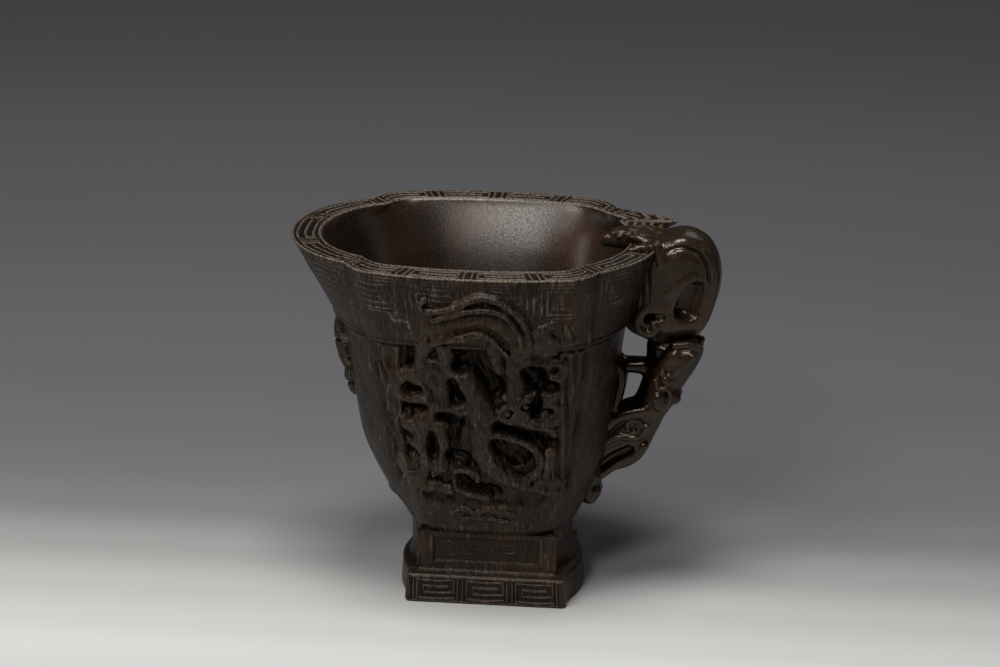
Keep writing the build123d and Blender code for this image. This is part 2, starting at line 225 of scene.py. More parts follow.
def line_distance(u, v, corners):
    """Distance in a plane from (u, v) to the line through corners."""
    nearest = np.full(np.broadcast(u, v).shape, FAR_OFF)
    for (u0, v0), (u1, v1) in zip(corners, corners[1:]):
        du, dv = u1 - u0, v1 - v0
        t = np.clip(((u - u0) * du + (v - v0) * dv) / (du * du + dv * dv), 0.0, 1.0)
        nearest = np.minimum(nearest, np.hypot(u - u0 - t * du, v - v0 - t * dv))
    return nearest


def drawn(u, v, corners, width, soft=LINE_SOFT):
    """1 on a line of the given width, 0 away from it."""
    return fade(width / 2 - soft, width / 2 + soft, line_distance(u, v, corners))


def key_corners(length, height, pitch):
    """Corners of a rectangular spiral that winds inwards in a rectangle, from its lower right."""
    left, right, low, high = 0.0, length, 0.0, height
    corners = [(right, low), (left, low)]
    while high - low > pitch and right - left > pitch:
        low += pitch
        corners += [(left, high), (right, high), (right, low)]
        left += pitch
        high -= pitch
        right -= pitch
        corners.append((left, low))
    return corners


def fret(u, v, length, kind):
    """Key spiral with a bar at each end of its cell, v up from the band's foot."""
    v = v + FRET_WAVER * np.sin(0.5 * u + 0.7 * length)
    corners = key_corners(length - 2 * kind.gap, kind.height, kind.pitch)
    lines = drawn(u - kind.gap, v, corners, kind.line)
    inset = FRET_BAR_PLACE * kind.gap
    for bar in (inset, length - inset):
        ends = [(bar, -FRET_BAR_OVERRUN), (bar, kind.height + FRET_BAR_OVERRUN)]
        lines = np.maximum(lines, drawn(u, v, ends, kind.line))
    return lines


# Meshes
def make_piece(name, points, faces, materials, rise, slots=None):
    """Smooth mesh object from points in millimetres; rise marks what stands proud, and low rise also
    carries painted shade.
    """
    mesh = bpy.data.meshes.new(name)
    mesh.from_pydata((np.asarray(points) * MM).tolist(), [], faces)
    mesh.polygons.foreach_set("use_smooth", np.ones(len(mesh.polygons), bool))
    for material in materials:
        mesh.materials.append(material)
    if slots is not None:
        mesh.polygons.foreach_set("material_index", np.asarray(slots, np.int32))
    marks = mesh.attributes.new("rise", "FLOAT", "POINT")
    marks.data.foreach_set("value", np.asarray(rise, np.float32))
    piece = bpy.data.objects.new(name, mesh)
    bpy.context.scene.collection.objects.link(piece)
    return piece


def dress(piece, slot, *nodes):
    """The piece rides on the cup and stands for the nodes. The slot is not used."""
    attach(piece, BODY)
    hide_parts(*nodes)


Ring = namedtuple("Ring", "points rise slot")


def ring(flat, z, rise=0.5, slot=0):
    """One row around a piece, from points in plan and a height."""
    height = np.broadcast_to(z, len(flat))
    marks = np.broadcast_to(rise, len(flat))
    return Ring(np.column_stack([flat, height]), marks, slot)


def skin_rings(rings, loop):
    """Points, rise, faces and slots of a skin over rings; loop joins the last ring to the first."""
    counts = [len(r.points) for r in rings]
    starts = np.cumsum([0] + counts)
    lowers = list(range(len(rings)))
    uppers = lowers[1:] + lowers[:1] if loop else lowers[1:]
    faces = []
    slots = []
    for lower, upper in zip(lowers, uppers):
        found = band(starts[lower], counts[lower], starts[upper], counts[upper])
        faces += found
        slots += [rings[upper].slot] * len(found)
    points = np.vstack([r.points for r in rings])
    rise = np.concatenate([r.rise for r in rings])
    return points, rise, faces, slots


def band(low, low_count, high, high_count):
    """Faces between two rings, one of which may have twice as many points."""
    few = min(low_count, high_count)
    i = np.arange(few)
    j = (i + 1) % few
    if low_count == high_count:
        return np.column_stack([low + i, low + j, high + j, high + i]).tolist()
    k = 2 * i
    if low_count < high_count:
        corners = [low + i, low + j, high + 2 * j, high + k + 1, high + k]
    else:
        corners = [low + k, low + k + 1, low + 2 * j, high + j, high + i]
    return np.column_stack(corners).tolist()


def capped(points, rise, faces, slots, count):
    """Closes a skin of rings with a fan over its first and last rings, of count points each."""
    total = len(points)
    low_ring = np.arange(count)
    high_ring = np.arange(total - count, total)
    middles = [points[low_ring].mean(0), points[high_ring].mean(0)]
    for middle, around in ((total, low_ring[::-1]), (total + 1, high_ring)):
        fan = np.column_stack([around, np.roll(around, -1), np.full(count, middle)])
        faces = faces + fan.tolist()
        slots = slots + [0] * count
    return np.vstack([points, middles]), np.append(rise, [0.5, 0.5]), faces, slots


def make_stack(name, rings, material):
    """Closed piece over rings of equal count."""
    points, rise, faces, slots = capped(*skin_rings(rings, loop=False), len(rings[0].points))
    return make_piece(name, points, faces, [material], rise, slots)


# Bowl
LOBE_STEPS = {
    "right": SIDE_STEPS,
    "back": FRONT_STEPS + 2 * CORNER_STEPS,
    "left": SIDE_STEPS,
    "front": FRONT_STEPS + 2 * CORNER_STEPS,
}
LOBE_CELLS = {"right": 3, "back": 4, "left": 3, "front": 4}
# Bowl: its rim, drawn out to a tip behind the handle
RIM_TIP_Y = 19.5
RIM_TIP_REACH = 9.8
RIM_TIP_ROOT_Y = 28.5
RIM_TIP_NOTCH_Y = 16.5
RIM_TIP_FOOT_Z = 103.5
RIM_STEPS = 44
MOUTH_TIP_SHARE = 0.3
FRET_SUNK = 0.36
RIM_EDGE_DROP = 0.5
LIP_WIDTH = 1.0
LIP_RISE = 0.2
LIP_EDGE_DROP = 0.45
BORDER_WIDTH = 0.7
RIM_FRET_FOOT = 1.9
RIM_FRET = Fret(height=4.8, pitch=2.4, line=0.66, gap=3.0)
# Plain bars take the frets' place on the rim's tip
TIP_BARS_X = (36.0, 38.0)
TIP_BARS_Y = (11.0, 13.0)
TIP_BAR_TURN = 2.5
# Bowl: its neck
NECK_ROW = 0.34
NECK_TOP_DROP = 0.9
NECK_FRET_DROP = 11.4
NECK_FRET = Fret(height=7.6, pitch=1.9, line=0.6, gap=3.0)
NECK_FRET_RISE = 0.2
NECK_BORDERS = (1.5, 2.5, 12.6)
NECK_BORDER_HALF = 0.5
NECK_HOOK_WIDTH = 0.9
LEDGE_LIP_RISE = 0.5
# Bowl: its body
BODY_ROW = 0.45
STRIP_TOP = (84.5, 86.5)
HOLLOW_DEPTH = 3.0
CREASE_DEPTH = 0.9
CREASE_REACH = 2.6
KNOB_Z = 30.8
KNOB_HALF = 2.2
KNOB_RISE = 0.9
# Beads around the body: height, half of the width, rise
BEADS = [(24.0, 1.4, 0.3), (85.6, 1.3, 0.5)]
# Bowl: its inside, rubbed rounder further down, and the plug
CAVITY_ROWS = 56
CAVITY_TOP_DROP = 0.7
CAVITY_LEAST_PASSES = 10
CAVITY_PASSES = 2600
CAVITY_EASING = 5.0
PLUG_CHAMFER = 0.5
PLUG_TOP_SHARE = 0.985
PLUG_DISH = 0.6
PLUG_ROWS = 16


def fret_cells():
    """For each point around the rim: distance along its fret cell, and that cell's length."""
    points = outline(RIM)
    steps = np.linalg.norm(np.roll(points, -1, 0) - points, axis=1)
    places = []
    lengths = []
    start = 0
    for lobe, count in LOBE_STEPS.items():
        along = np.concatenate([[0.0], np.cumsum(steps[start : start + count])])
        cell = along[-1] / LOBE_CELLS[lobe]
        places.append(along[:-1] % cell)
        lengths.append(np.full(count, cell))
        start += count
    return np.concatenate(places), np.concatenate(lengths)


CELL_PLACE, CELL_LENGTH = fret_cells()


def lobe_frets(v, kind):
    """Fret lines all round, v up from the band's foot."""
    lines = np.zeros(len(CELL_PLACE))
    for length in np.unique(CELL_LENGTH):
        here = CELL_LENGTH == length
        lines[here] = fret(CELL_PLACE[here], v, length, kind)
    return lines


def with_tip(flat, z, reach=RIM_TIP_REACH):
    """Draws the rim out to a point behind the handle."""
    x, y = flat[:, 0], flat[:, 1]
    rising = np.clip((RIM_TIP_ROOT_Y - y) / (RIM_TIP_ROOT_Y - RIM_TIP_Y), 0.0, 1.0)
    falling = smooth(RIM_TIP_NOTCH_Y, RIM_TIP_Y, y)
    amount = rising * falling * (x > 0) * smooth(RIM_TIP_FOOT_Z, RIM_Z, z)
    return np.column_stack([x + reach * amount, y])


def panel_half_width(z):
    widening = (PANEL_HALF_WIDTH - PANEL_NARROW) * (z - PANEL_FOOT_Z)
    return PANEL_NARROW + widening / (LEDGE_Z - PANEL_FOOT_Z)


# Hollows between the panel's figures: a line of (x, z) points, a radius and a share of the depth
HOLLOWS = [
    ([(-5.6, 81.4), (-2.4, 83.4), (0.2, 82.6), (1.4, 79.0), (3.6, 75.4), (4.2, 72.6)], 2.7, 1.0),
    ([(-4.6, 87.0), (-0.6, 86.6), (0.2, 82.0)], 2.3, 1.0),
    ([(-8.0, 75.4), (-7.6, 71.4), (-7.4, 69.4)], 1.8, 0.9),
    ([(-22.6, 72.2), (-18.4, 72.0)], 1.3, 0.8),
    ([(-22.6, 66.4), (-17.4, 66.0)], 1.3, 0.7),
    ([(-12.0, 63.6), (-7.4, 62.0)], 1.7, 0.9),
    ([(-8.6, 58.6), (-8.2, 53.6)], 1.1, 0.5),
    ([(-15.0, 55.6), (-14.3, 50.4)], 1.3, 0.9),
    ([(-23.4, 56.8), (-21.4, 55.6)], 1.1, 0.7),
    ([(-22.8, 50.4), (-19.8, 49.2)], 1.1, 0.7),
    ([(-9.8, 50.2), (-6.4, 49.2), (-3.6, 47.4)], 1.7, 0.9),
    ([(5.6, 61.0), (10.1, 60.0), (13.0, 58.8), (15.4, 57.2)], 1.7, 1.0),
    ([(4.6, 54.8), (7.4, 51.4), (10.4, 49.4), (12.4, 51.2), (9.0, 53.6)], 2.1, 0.9),
    ([(13.4, 79.8), (15.6, 76.4), (17.4, 78.4)], 1.7, 1.0),
    ([(17.6, 74.8), (21.4, 74.2)], 1.6, 0.9),
    ([(16.7, 70.4), (16.1, 66.0)], 1.3, 1.0),
    ([(18.0, 58.0), (20.4, 55.2)], 1.7, 0.9),
    ([(-20.4, 86.8), (-21.1, 80.0)], 1.0, 0.7),
    ([(-7.0, 43.0), (-5.6, 40.6), (-2.4, 39.0), (3.6, 37.9)], 1.1, 0.9),
]
# Small carved hook on the neck at the left
NECK_HOOK = [(-25.6, 98.0), (-24.6, 95.8), (-22.0, 96.4), (-20.0, 95.6), (-20.0, 93.8)]


def hollowing(x, z):
    """How deep the panel is hollowed, from 0 to 1."""
    deep = np.zeros(len(x))
    for points, radius, share in HOLLOWS:
        near = fade(radius - 1.2, radius + 1.4, line_distance(x, z, points))
        deep = np.maximum(deep, share * near)
    return deep


def ripple(x, z):
    """Uneven tool work on the panel's ground."""
    broad = np.sin(0.9 * x + 1.3 * np.sin(0.4 * z)) * np.sin(0.55 * z + 0.8 * np.sin(0.6 * x))
    fine = np.sin(2.1 * x - 0.7 * np.sin(0.9 * z)) * np.sin(0.8 * z + x)
    return 0.45 * broad + 0.15 * fine


def strip_lines(x, z):
    """Raised grain beside the panel: wavy at the left, straight at the right."""
    bend = 1.1 * np.sin(0.23 * z + 0.5) + 0.6 * np.sin(0.61 * z + 0.12 * x)
    wavy = np.sin(1.75 * (x + bend)) + 0.6 * np.sin(3.1 * (x + 0.7 * bend) + 1.0)
    grooves = np.sin(2.2 * x + 0.3 * np.sin(0.17 * z)) + 0.35 * np.sin(4.7 * x)
    return np.where(x < 0, 0.6 * wavy, 0.6 * grooves)


def body_carving(flat, z):
    """How far the carved body stands out from its plan, for the points of one row."""
    x, y = flat[:, 0], flat[:, 1]
    plan = body_plan(z)
    half = panel_half_width(z)
    long_side = np.abs(y) > plan.crease_front - 0.5
    foot = smooth(PANEL_FOOT_Z - 1.5, PANEL_FOOT_Z + 3.5, z)
    inside = fade(half - PANEL_EDGE, half, np.abs(x)) * foot * long_side
    beside = (1 - inside) * smooth(PANEL_FOOT_Z, PANEL_FOOT_Z + 6, z) * fade(*STRIP_TOP, z)
    deep = hollowing(x, z) * long_side
    crease_x = np.where(x > 0, plan.crease_right, plan.crease_left)
    from_crease = np.hypot(np.abs(x) - crease_x, np.abs(y) - plan.crease_front)
    at_crease = fade(0.0, CREASE_REACH, from_crease)
    at_corner = smooth(0.86, 0.99, np.abs(x) / np.abs(x).max())
    knobs = KNOB_RISE * hump(KNOB_Z, KNOB_HALF, z) * at_corner
    beads = sum(rise * hump(bead_z, bead_half, z) for bead_z, bead_half, rise in BEADS)
    worn = 0.12 * np.sin(0.31 * x + 0.23 * z) + 0.08 * np.sin(0.83 * y - 0.37 * z)
    out = beside * long_side * strip_lines(x, z) + knobs + beads * (1 - inside) + worn
    out = out - CREASE_DEPTH * at_crease * smooth(PANEL_FOOT_Z, PANEL_FOOT_Z + 8, z)
    return out + inside * (ripple(x, z) - PANEL_DEPTH) - HOLLOW_DEPTH * deep


def body_rings():
    rows = int((LEDGE_Z - WAIST_Z) / BODY_ROW)
    found = []
    for z in np.linspace(WAIST_Z, LEDGE_Z, rows):
        flat = outline(body_plan(z))[::2]
        out = body_carving(flat, z)
        # Creases and deep hollows get a low rise, which the material turns dark: painted shade
        rise = np.clip(0.48 + 0.32 * np.where(out < -1.0, out + 1.0, out), 0.0, 1.0)
        found.append(ring(flat + outward(flat) * out[:, None], z, rise))
    return found


def fret_wear(x, y, z):
    """How much of the neck's frets uneven wear has left."""
    broad = 0.3 * np.sin(0.37 * x + 0.9 * np.sin(0.5 * z))
    return 0.5 + broad + 0.2 * np.sin(0.8 * z + y)


def neck_rings():
    """The flared neck, with faint raised frets under the rim."""
    top = RIM_Z - NECK_TOP_DROP
    found = []
    for z in np.linspace(LEDGE_Z, top, int((top - LEDGE_Z) / NECK_ROW)):
        flat = outline(neck_plan(z))
        x, y = flat[:, 0], flat[:, 1]
        down = RIM_Z - z
        lines = lobe_frets(NECK_FRET_DROP - down, NECK_FRET)
        for border in NECK_BORDERS:
            lines = np.maximum(lines, hump(border, NECK_BORDER_HALF, down))
        hook = drawn(x, z, NECK_HOOK, NECK_HOOK_WIDTH) * (y < 0)
        lines = np.maximum(lines * fret_wear(x, y, z) * (1 - hook), 0.9 * hook)
        lip = LEDGE_LIP_RISE * hump(LEDGE_Z + 0.9, 1.1, z)
        worn = 0.1 * np.sin(0.29 * x + 0.4 * z)
        out = lip + worn + NECK_FRET_RISE * lines
        placed = with_tip(flat + outward(flat) * out[:, None], z)
        found.append(ring(placed, z, np.clip(0.48 + 0.52 * lines + 0.3 * lip, 0.0, 1.0)))
    return found


def rim_rings():
    """The flat rim from its outer edge to its inner lip, with raised frets on a sunk ground."""
    found = []
    for inset in np.linspace(0.0, RIM_WIDTH, RIM_STEPS):
        flat = outline(rim_plan(inset / RIM_WIDTH))
        x, y = flat[:, 0], flat[:, 1]
        at_tip = smooth(*TIP_BARS_X, x) * smooth(*TIP_BARS_Y, y)
        bars = smooth(-0.1, 0.5, np.sin(TIP_BAR_TURN * x))
        lines = np.where(at_tip > 0.5, bars, lobe_frets(inset - RIM_FRET_FOOT, RIM_FRET))
        border = fade(BORDER_WIDTH - 0.2, BORDER_WIDTH + 0.2, inset)
        lip = smooth(RIM_WIDTH - LIP_WIDTH - 0.2, RIM_WIDTH - LIP_WIDTH + 0.3, inset)
        height = np.maximum(lines, max(float(border), float(lip)))
        at_lip_edge = smooth(RIM_WIDTH - 0.6, RIM_WIDTH, inset)
        rounding = RIM_EDGE_DROP * fade(0.0, 0.5, inset) + LIP_EDGE_DROP * at_lip_edge
        z = RIM_Z - rounding + LIP_RISE * lip - FRET_SUNK * (1 - height)
        reach = RIM_TIP_REACH * (1 - (1 - MOUTH_TIP_SHARE) * inset / RIM_WIDTH)
        found.append(ring(with_tip(flat, RIM_Z, reach), z, 0.28 + 0.72 * height))
    return found


def rounded(flat, passes):
    """An outline with its corners rubbed down, and its length and width kept."""
    low, high = flat.min(0), flat.max(0)
    for _ in range(passes):
        flat = (np.roll(flat, 1, 0) + 2 * flat + np.roll(flat, -1, 0)) / 4
    share = (flat - flat.min(0)) / (flat.max(0) - flat.min(0))
    return low + share * (high - low)


def cavity_rings():
    """Polished inside, from the lip down to the floor, the plug's seat and the mortise."""
    top = RIM_Z - CAVITY_TOP_DROP
    reach = MOUTH_TIP_SHARE * RIM_TIP_REACH
    found = []
    for share in np.linspace(0.005, 1.0, CAVITY_ROWS):
        z = top - share * (top - FLOOR_Z)
        flat = outline(cavity_plan(max(z, FLOOR_Z + TINY)))[::2]
        passes = CAVITY_LEAST_PASSES + int(CAVITY_PASSES * min(1.0, CAVITY_EASING * share))
        found.append(ring(with_tip(rounded(flat, passes), z, reach), z, 0.5, 1))
    seat = outline(grown(cavity_plan(FLOOR_Z + TINY), -PLUG_SHELF))[::2]
    found.append(ring(seat, FLOOR_Z, 0.5, 1))
    found.append(ring(seat, SHELF_Z, 0.5, 1))
    hole = mortise(seat)
    found.append(ring(hole, SHELF_Z))
    found.append(ring(hole, WAIST_Z))
    return found


def mortise(around):
    """Rounded rectangle of the tenon's hole, a point on it for each direction of an outline."""
    angle = np.arctan2(around[:, 1], around[:, 0])
    cos = np.abs(np.cos(angle)) / TENON_HALF[0]
    sin = np.abs(np.sin(angle)) / TENON_HALF[1]
    reach = (cos**TENON_SQUARENESS + sin**TENON_SQUARENESS) ** (-1 / TENON_SQUARENESS)
    return np.column_stack([reach * np.cos(angle), reach * np.sin(angle)])


def make_bowl(carved, inner):
    rings = body_rings() + neck_rings() + rim_rings() + cavity_rings()
    points, rise, faces, slots = skin_rings(rings, loop=True)
    bowl = make_piece("bowl_shell", points, faces, [carved, inner], rise, slots)
    dress(bowl, "carved_horn", "bowl")


def make_floor(inner):
    """Plug that closes the hollow, its top slightly dished."""
    seat = outline(grown(cavity_plan(FLOOR_Z + TINY), -PLUG_SHELF - PLUG_GAP))[::4]
    rings = [ring(seat, SHELF_Z), ring(seat, FLOOR_Z - PLUG_CHAMFER)]
    rings.append(ring(seat * PLUG_TOP_SHARE, FLOOR_Z))
    for share in np.linspace(0.94, 0.06, PLUG_ROWS):
        rings.append(ring(seat * share, FLOOR_Z - PLUG_DISH * (1 - share**2)))
    plug = make_stack("floor_plug_dished", rings, inner)
    dress(plug, "inner_horn", "floor_plug")


# Foot: its stem
STEM_HALF_WIDTH = 21.2
STEM_FRONT = 17.0
STEM_SIDE = 24.4
STEM_CREASE_INSET = 1.6
STEM_CREASE_DROP = 5.5
STEM_PANEL_HALF = 15.7
STEM_PANEL = (12.5, 20.0)
STEM_PANEL_DEPTH = 0.75
STEM_PANEL_SOFT = 0.25
STEM_CREASE_ANGLE = 60
# Foot: its plinth
PLINTH_SPREAD = 3.5
PLINTH_DRAFT = 0.5
PLINTH_SHOULDER = 1.0
PLINTH_CREASE_INSET = 0.4
PLINTH_CORNER_PASSES = 90
PLINTH_SUNK = 0.42
PLINTH_FOOT_ROUND = 0.5
PLINTH_TOP_ROUND = 0.4
PLINTH_COVE_ROWS = 8
PLINTH_CREASE_ANGLE = 50
PLINTH_FRETS = 3
PLINTH_FRET = Fret(height=5.9, pitch=1.9, line=0.6, gap=1.9)
PLINTH_FRET_FOOT = 1.3
PLINTH_FRET_EDGE = 2.0
# Foot: points and rows of both
FOOT_LINE_STEPS = 300
FOOT_RETURN_STEPS = 22
FOOT_SIDE_STEPS = 90
FOOT_ROW = 0.22


def straight(start, end, count):
    share = np.arange(count)[:, None] / count
    return np.array(start) + share * (np.array(end) - np.array(start))


def foot_outline(spread, inset=STEM_CREASE_INSET):
    """Points around the foot, anticlockwise from its front right corner."""
    half = STEM_HALF_WIDTH + spread
    front = STEM_FRONT + spread
    crease_x = half - inset
    crease_y = front - STEM_CREASE_DROP
    runs = []
    for side in (1, -1):
        low = (side * crease_x, -side * crease_y)
        high = (side * crease_x, side * crease_y)
        runs.append(straight((side * half, -side * front), low, FOOT_RETURN_STEPS))
        runs.append(arc(low, (side * (STEM_SIDE + spread), 0.0), high, FOOT_SIDE_STEPS))
        runs.append(straight(high, (side * half, side * front), FOOT_RETURN_STEPS))
        corners = ((side * half, side * front), (-side * half, side * front))
        runs.append(straight(*corners, FOOT_LINE_STEPS))
    return np.vstack(runs)


def foot_faces(flat, spread):
    """Which points lie on the flat front or back, and how far along that face they are."""
    half = STEM_HALF_WIDTH + spread
    on_face = np.abs(np.abs(flat[:, 1]) - STEM_FRONT - spread) < 1e-6
    return on_face, flat[:, 0] + half, 2 * half


def plinth_frets(flat, spread, z):
    """Key frets on the front and back, and faint grain round the plain sides."""
    on_face, place, width = foot_faces(flat, spread)
    lines = np.zeros(len(flat))
    cell = (width - 2 * PLINTH_FRET_EDGE) / PLINTH_FRETS
    inside = on_face & (place > PLINTH_FRET_EDGE) & (place < width - PLINTH_FRET_EDGE)
    along = (place[inside] - PLINTH_FRET_EDGE) % cell
    lines[inside] = fret(along, z - PLINTH_FRET_FOOT, cell, PLINTH_FRET)
    lines[on_face & ~inside] = 0.8
    borders = np.clip(fade(0.6, 1.0, z) + smooth(7.7, 8.1, z), 0.0, 1.0)
    plain = 0.72 + 0.08 * np.sin(1.3 * flat[:, 1] + 0.6 * z) + 0.1 * borders
    return np.where(on_face, np.maximum(lines, borders), plain)


def plinth_ring(spread, z, lines=None, rounding=0.0):
    """One row of the plinth: rounded corners, and sides that slope up to the stem."""
    share = min(1.0, spread / (PLINTH_SPREAD - PLINTH_DRAFT))
    inset = STEM_CREASE_INSET + (PLINTH_CREASE_INSET - STEM_CREASE_INSET) * share
    flat = rounded(foot_outline(spread, inset), PLINTH_CORNER_PASSES)
    on_side = fade(STEM_FRONT - 6.0, STEM_FRONT - 2.0, np.abs(flat[:, 1]))
    front = 1 - on_side
    height = z + 2.0 * max(0.0, z - COVE_Z) * on_side
    if lines is None:
        out = np.full(len(flat), -rounding)
        rise = 0.36 + 0.24 * front
    else:
        out = -PLINTH_SUNK * (1 - lines) - rounding
        rise = 0.34 + (0.06 + 0.34 * front) * lines
    return ring(flat + outward(flat) * out[:, None], height, rise)


def make_plinth(carved):
    edge = PLINTH_SPREAD - PLINTH_DRAFT
    rings = [plinth_ring(PLINTH_SPREAD - PLINTH_FOOT_ROUND, 0.0)]
    for z in np.linspace(0.15, COVE_Z - 0.1, int(COVE_Z / FOOT_ROW)):
        spread = PLINTH_SPREAD + (edge - PLINTH_SPREAD) * z / COVE_Z
        lines = plinth_frets(foot_outline(spread, PLINTH_CREASE_INSET), spread, z)
        rounding = PLINTH_FOOT_ROUND * fade(0.0, 0.9, z)
        rounding = rounding + PLINTH_TOP_ROUND * smooth(COVE_Z - 0.7, COVE_Z, z)
        rings.append(plinth_ring(spread, z, lines, rounding))
    rings.append(plinth_ring(edge - 0.7, COVE_Z + 0.05))
    for share in np.linspace(0.0, 1.0, PLINTH_COVE_ROWS):
        turn = share * math.pi / 2
        z = COVE_Z + 0.1 + (STEM_Z - COVE_Z - 0.1) * (1 - math.cos(turn))
        rings.append(plinth_ring((edge - PLINTH_SHOULDER) * (1 - math.sin(turn)), z))
    plinth = make_stack("plinth_fretted", rings, carved)
    plinth.data.set_sharp_from_angle(angle=math.radians(PLINTH_CREASE_ANGLE))
    dress(plinth, "carved_horn", "plinth")


# Raised lines in the stem's panel
STEM_ARCS = [
    [(-12.5, 18.0), (-11.0, 18.7), (-9.7, 17.7), (-10.6, 16.6), (-11.6, 17.2)],
    [(-12.6, 14.6), (-11.0, 13.9), (-9.4, 14.6)],
    [(-7.2, 17.6), (-5.2, 16.2), (-2.6, 16.1), (-0.7, 17.3)],
    [(-6.0, 14.4), (-3.8, 14.9), (-1.6, 14.3)],
    [(1.3, 17.6), (2.3, 16.5), (1.2, 15.4)],
    [(3.4, 17.2), (5.2, 15.7), (7.8, 15.6), (9.8, 17.0)],
    [(5.2, 18.4), (6.6, 17.9), (8.0, 18.4)],
    [(11.4, 18.4), (12.6, 17.2), (11.6, 16.0), (12.4, 14.7)],
]


def stem_panel(flat, z):
    """Sunk panel with thin raised scroll lines, on the front and back of the stem."""
    on_face, place, width = foot_faces(flat, 0.0)
    x = place - width / 2
    low, high = STEM_PANEL
    soft = STEM_PANEL_SOFT
    sunk = smooth(low - soft, low + soft, z) * fade(high - soft, high + soft, z)
    sunk = sunk * fade(STEM_PANEL_HALF - soft, STEM_PANEL_HALF + soft, np.abs(x))
    lines = np.zeros(len(flat))
    for points in STEM_ARCS:
        lines = np.maximum(lines, drawn(x, z, curve(points, 6), 0.42, 0.2))
    frame_line = hump(STEM_PANEL_HALF + 0.9, 0.7, np.abs(x)) * (high + 1 > z > low - 1)
    return on_face * sunk, on_face * sunk * lines, on_face * frame_line


def make_stem(carved):
    flat = foot_outline(0.0)
    rings = []
    for z in np.linspace(STEM_Z, WAIST_Z, int((WAIST_Z - STEM_Z) / FOOT_ROW)):
        sunk, lines, edge = stem_panel(flat, z)
        grooves = 0.1 * np.sin(3.3 * flat[:, 0]) * (1 - sunk)
        out = grooves + 0.15 * edge - STEM_PANEL_DEPTH * sunk + 0.3 * lines
        rise = 0.52 + 0.2 * edge - 0.2 * sunk + 0.36 * lines
        rings.append(ring(flat + outward(flat) * out[:, None], z, rise))
    stem = make_stack("foot_stem_panelled", rings, carved)
    stem.data.set_sharp_from_angle(angle=math.radians(STEM_CREASE_ANGLE))
    dress(stem, "carved_horn", "foot_stem")


# Sculpting
EASE_ROUNDS = 3
SETTLE_ROUNDS = 2
BLUR_ROUNDS = 5
RISE_GAIN = 1.1
CELL_CORNERS = list(np.ndindex(2, 2, 2))


def soft_min(a, b, blend):
    """Lesser of two distances, rounded over where they meet."""
    share = np.clip(0.5 + 0.5 * (b - a) / blend, 0.0, 1.0)
    return b + (a - b) * share - blend * share * (1 - share)


def eased(points, faces):
    """Points drawn half way to the middles of the faces around them."""
    for _ in range(EASE_ROUNDS):
        middles = points[faces].mean(1)
        count = np.bincount(faces.ravel(), minlength=len(points))
        sums = []
        for axis in range(3):
            sums.append(np.bincount(faces.ravel(), np.repeat(middles[:, axis], 4), len(points)))
        points = (points + np.column_stack(sums) / count[:, None]) / 2
    return points


def sampled(field, place):
    """A field's values between its grid points, place counted in grid steps."""
    place = np.clip(place, 0.0, np.array(field.shape) - 1.001)
    low = place.astype(int)
    share = place - low
    total = np.zeros(len(place))
    for corner in CELL_CORNERS:
        weight = np.prod(np.where(corner, share, 1 - share), axis=1)
        total += weight * field[tuple((low + corner).T)]
    return total


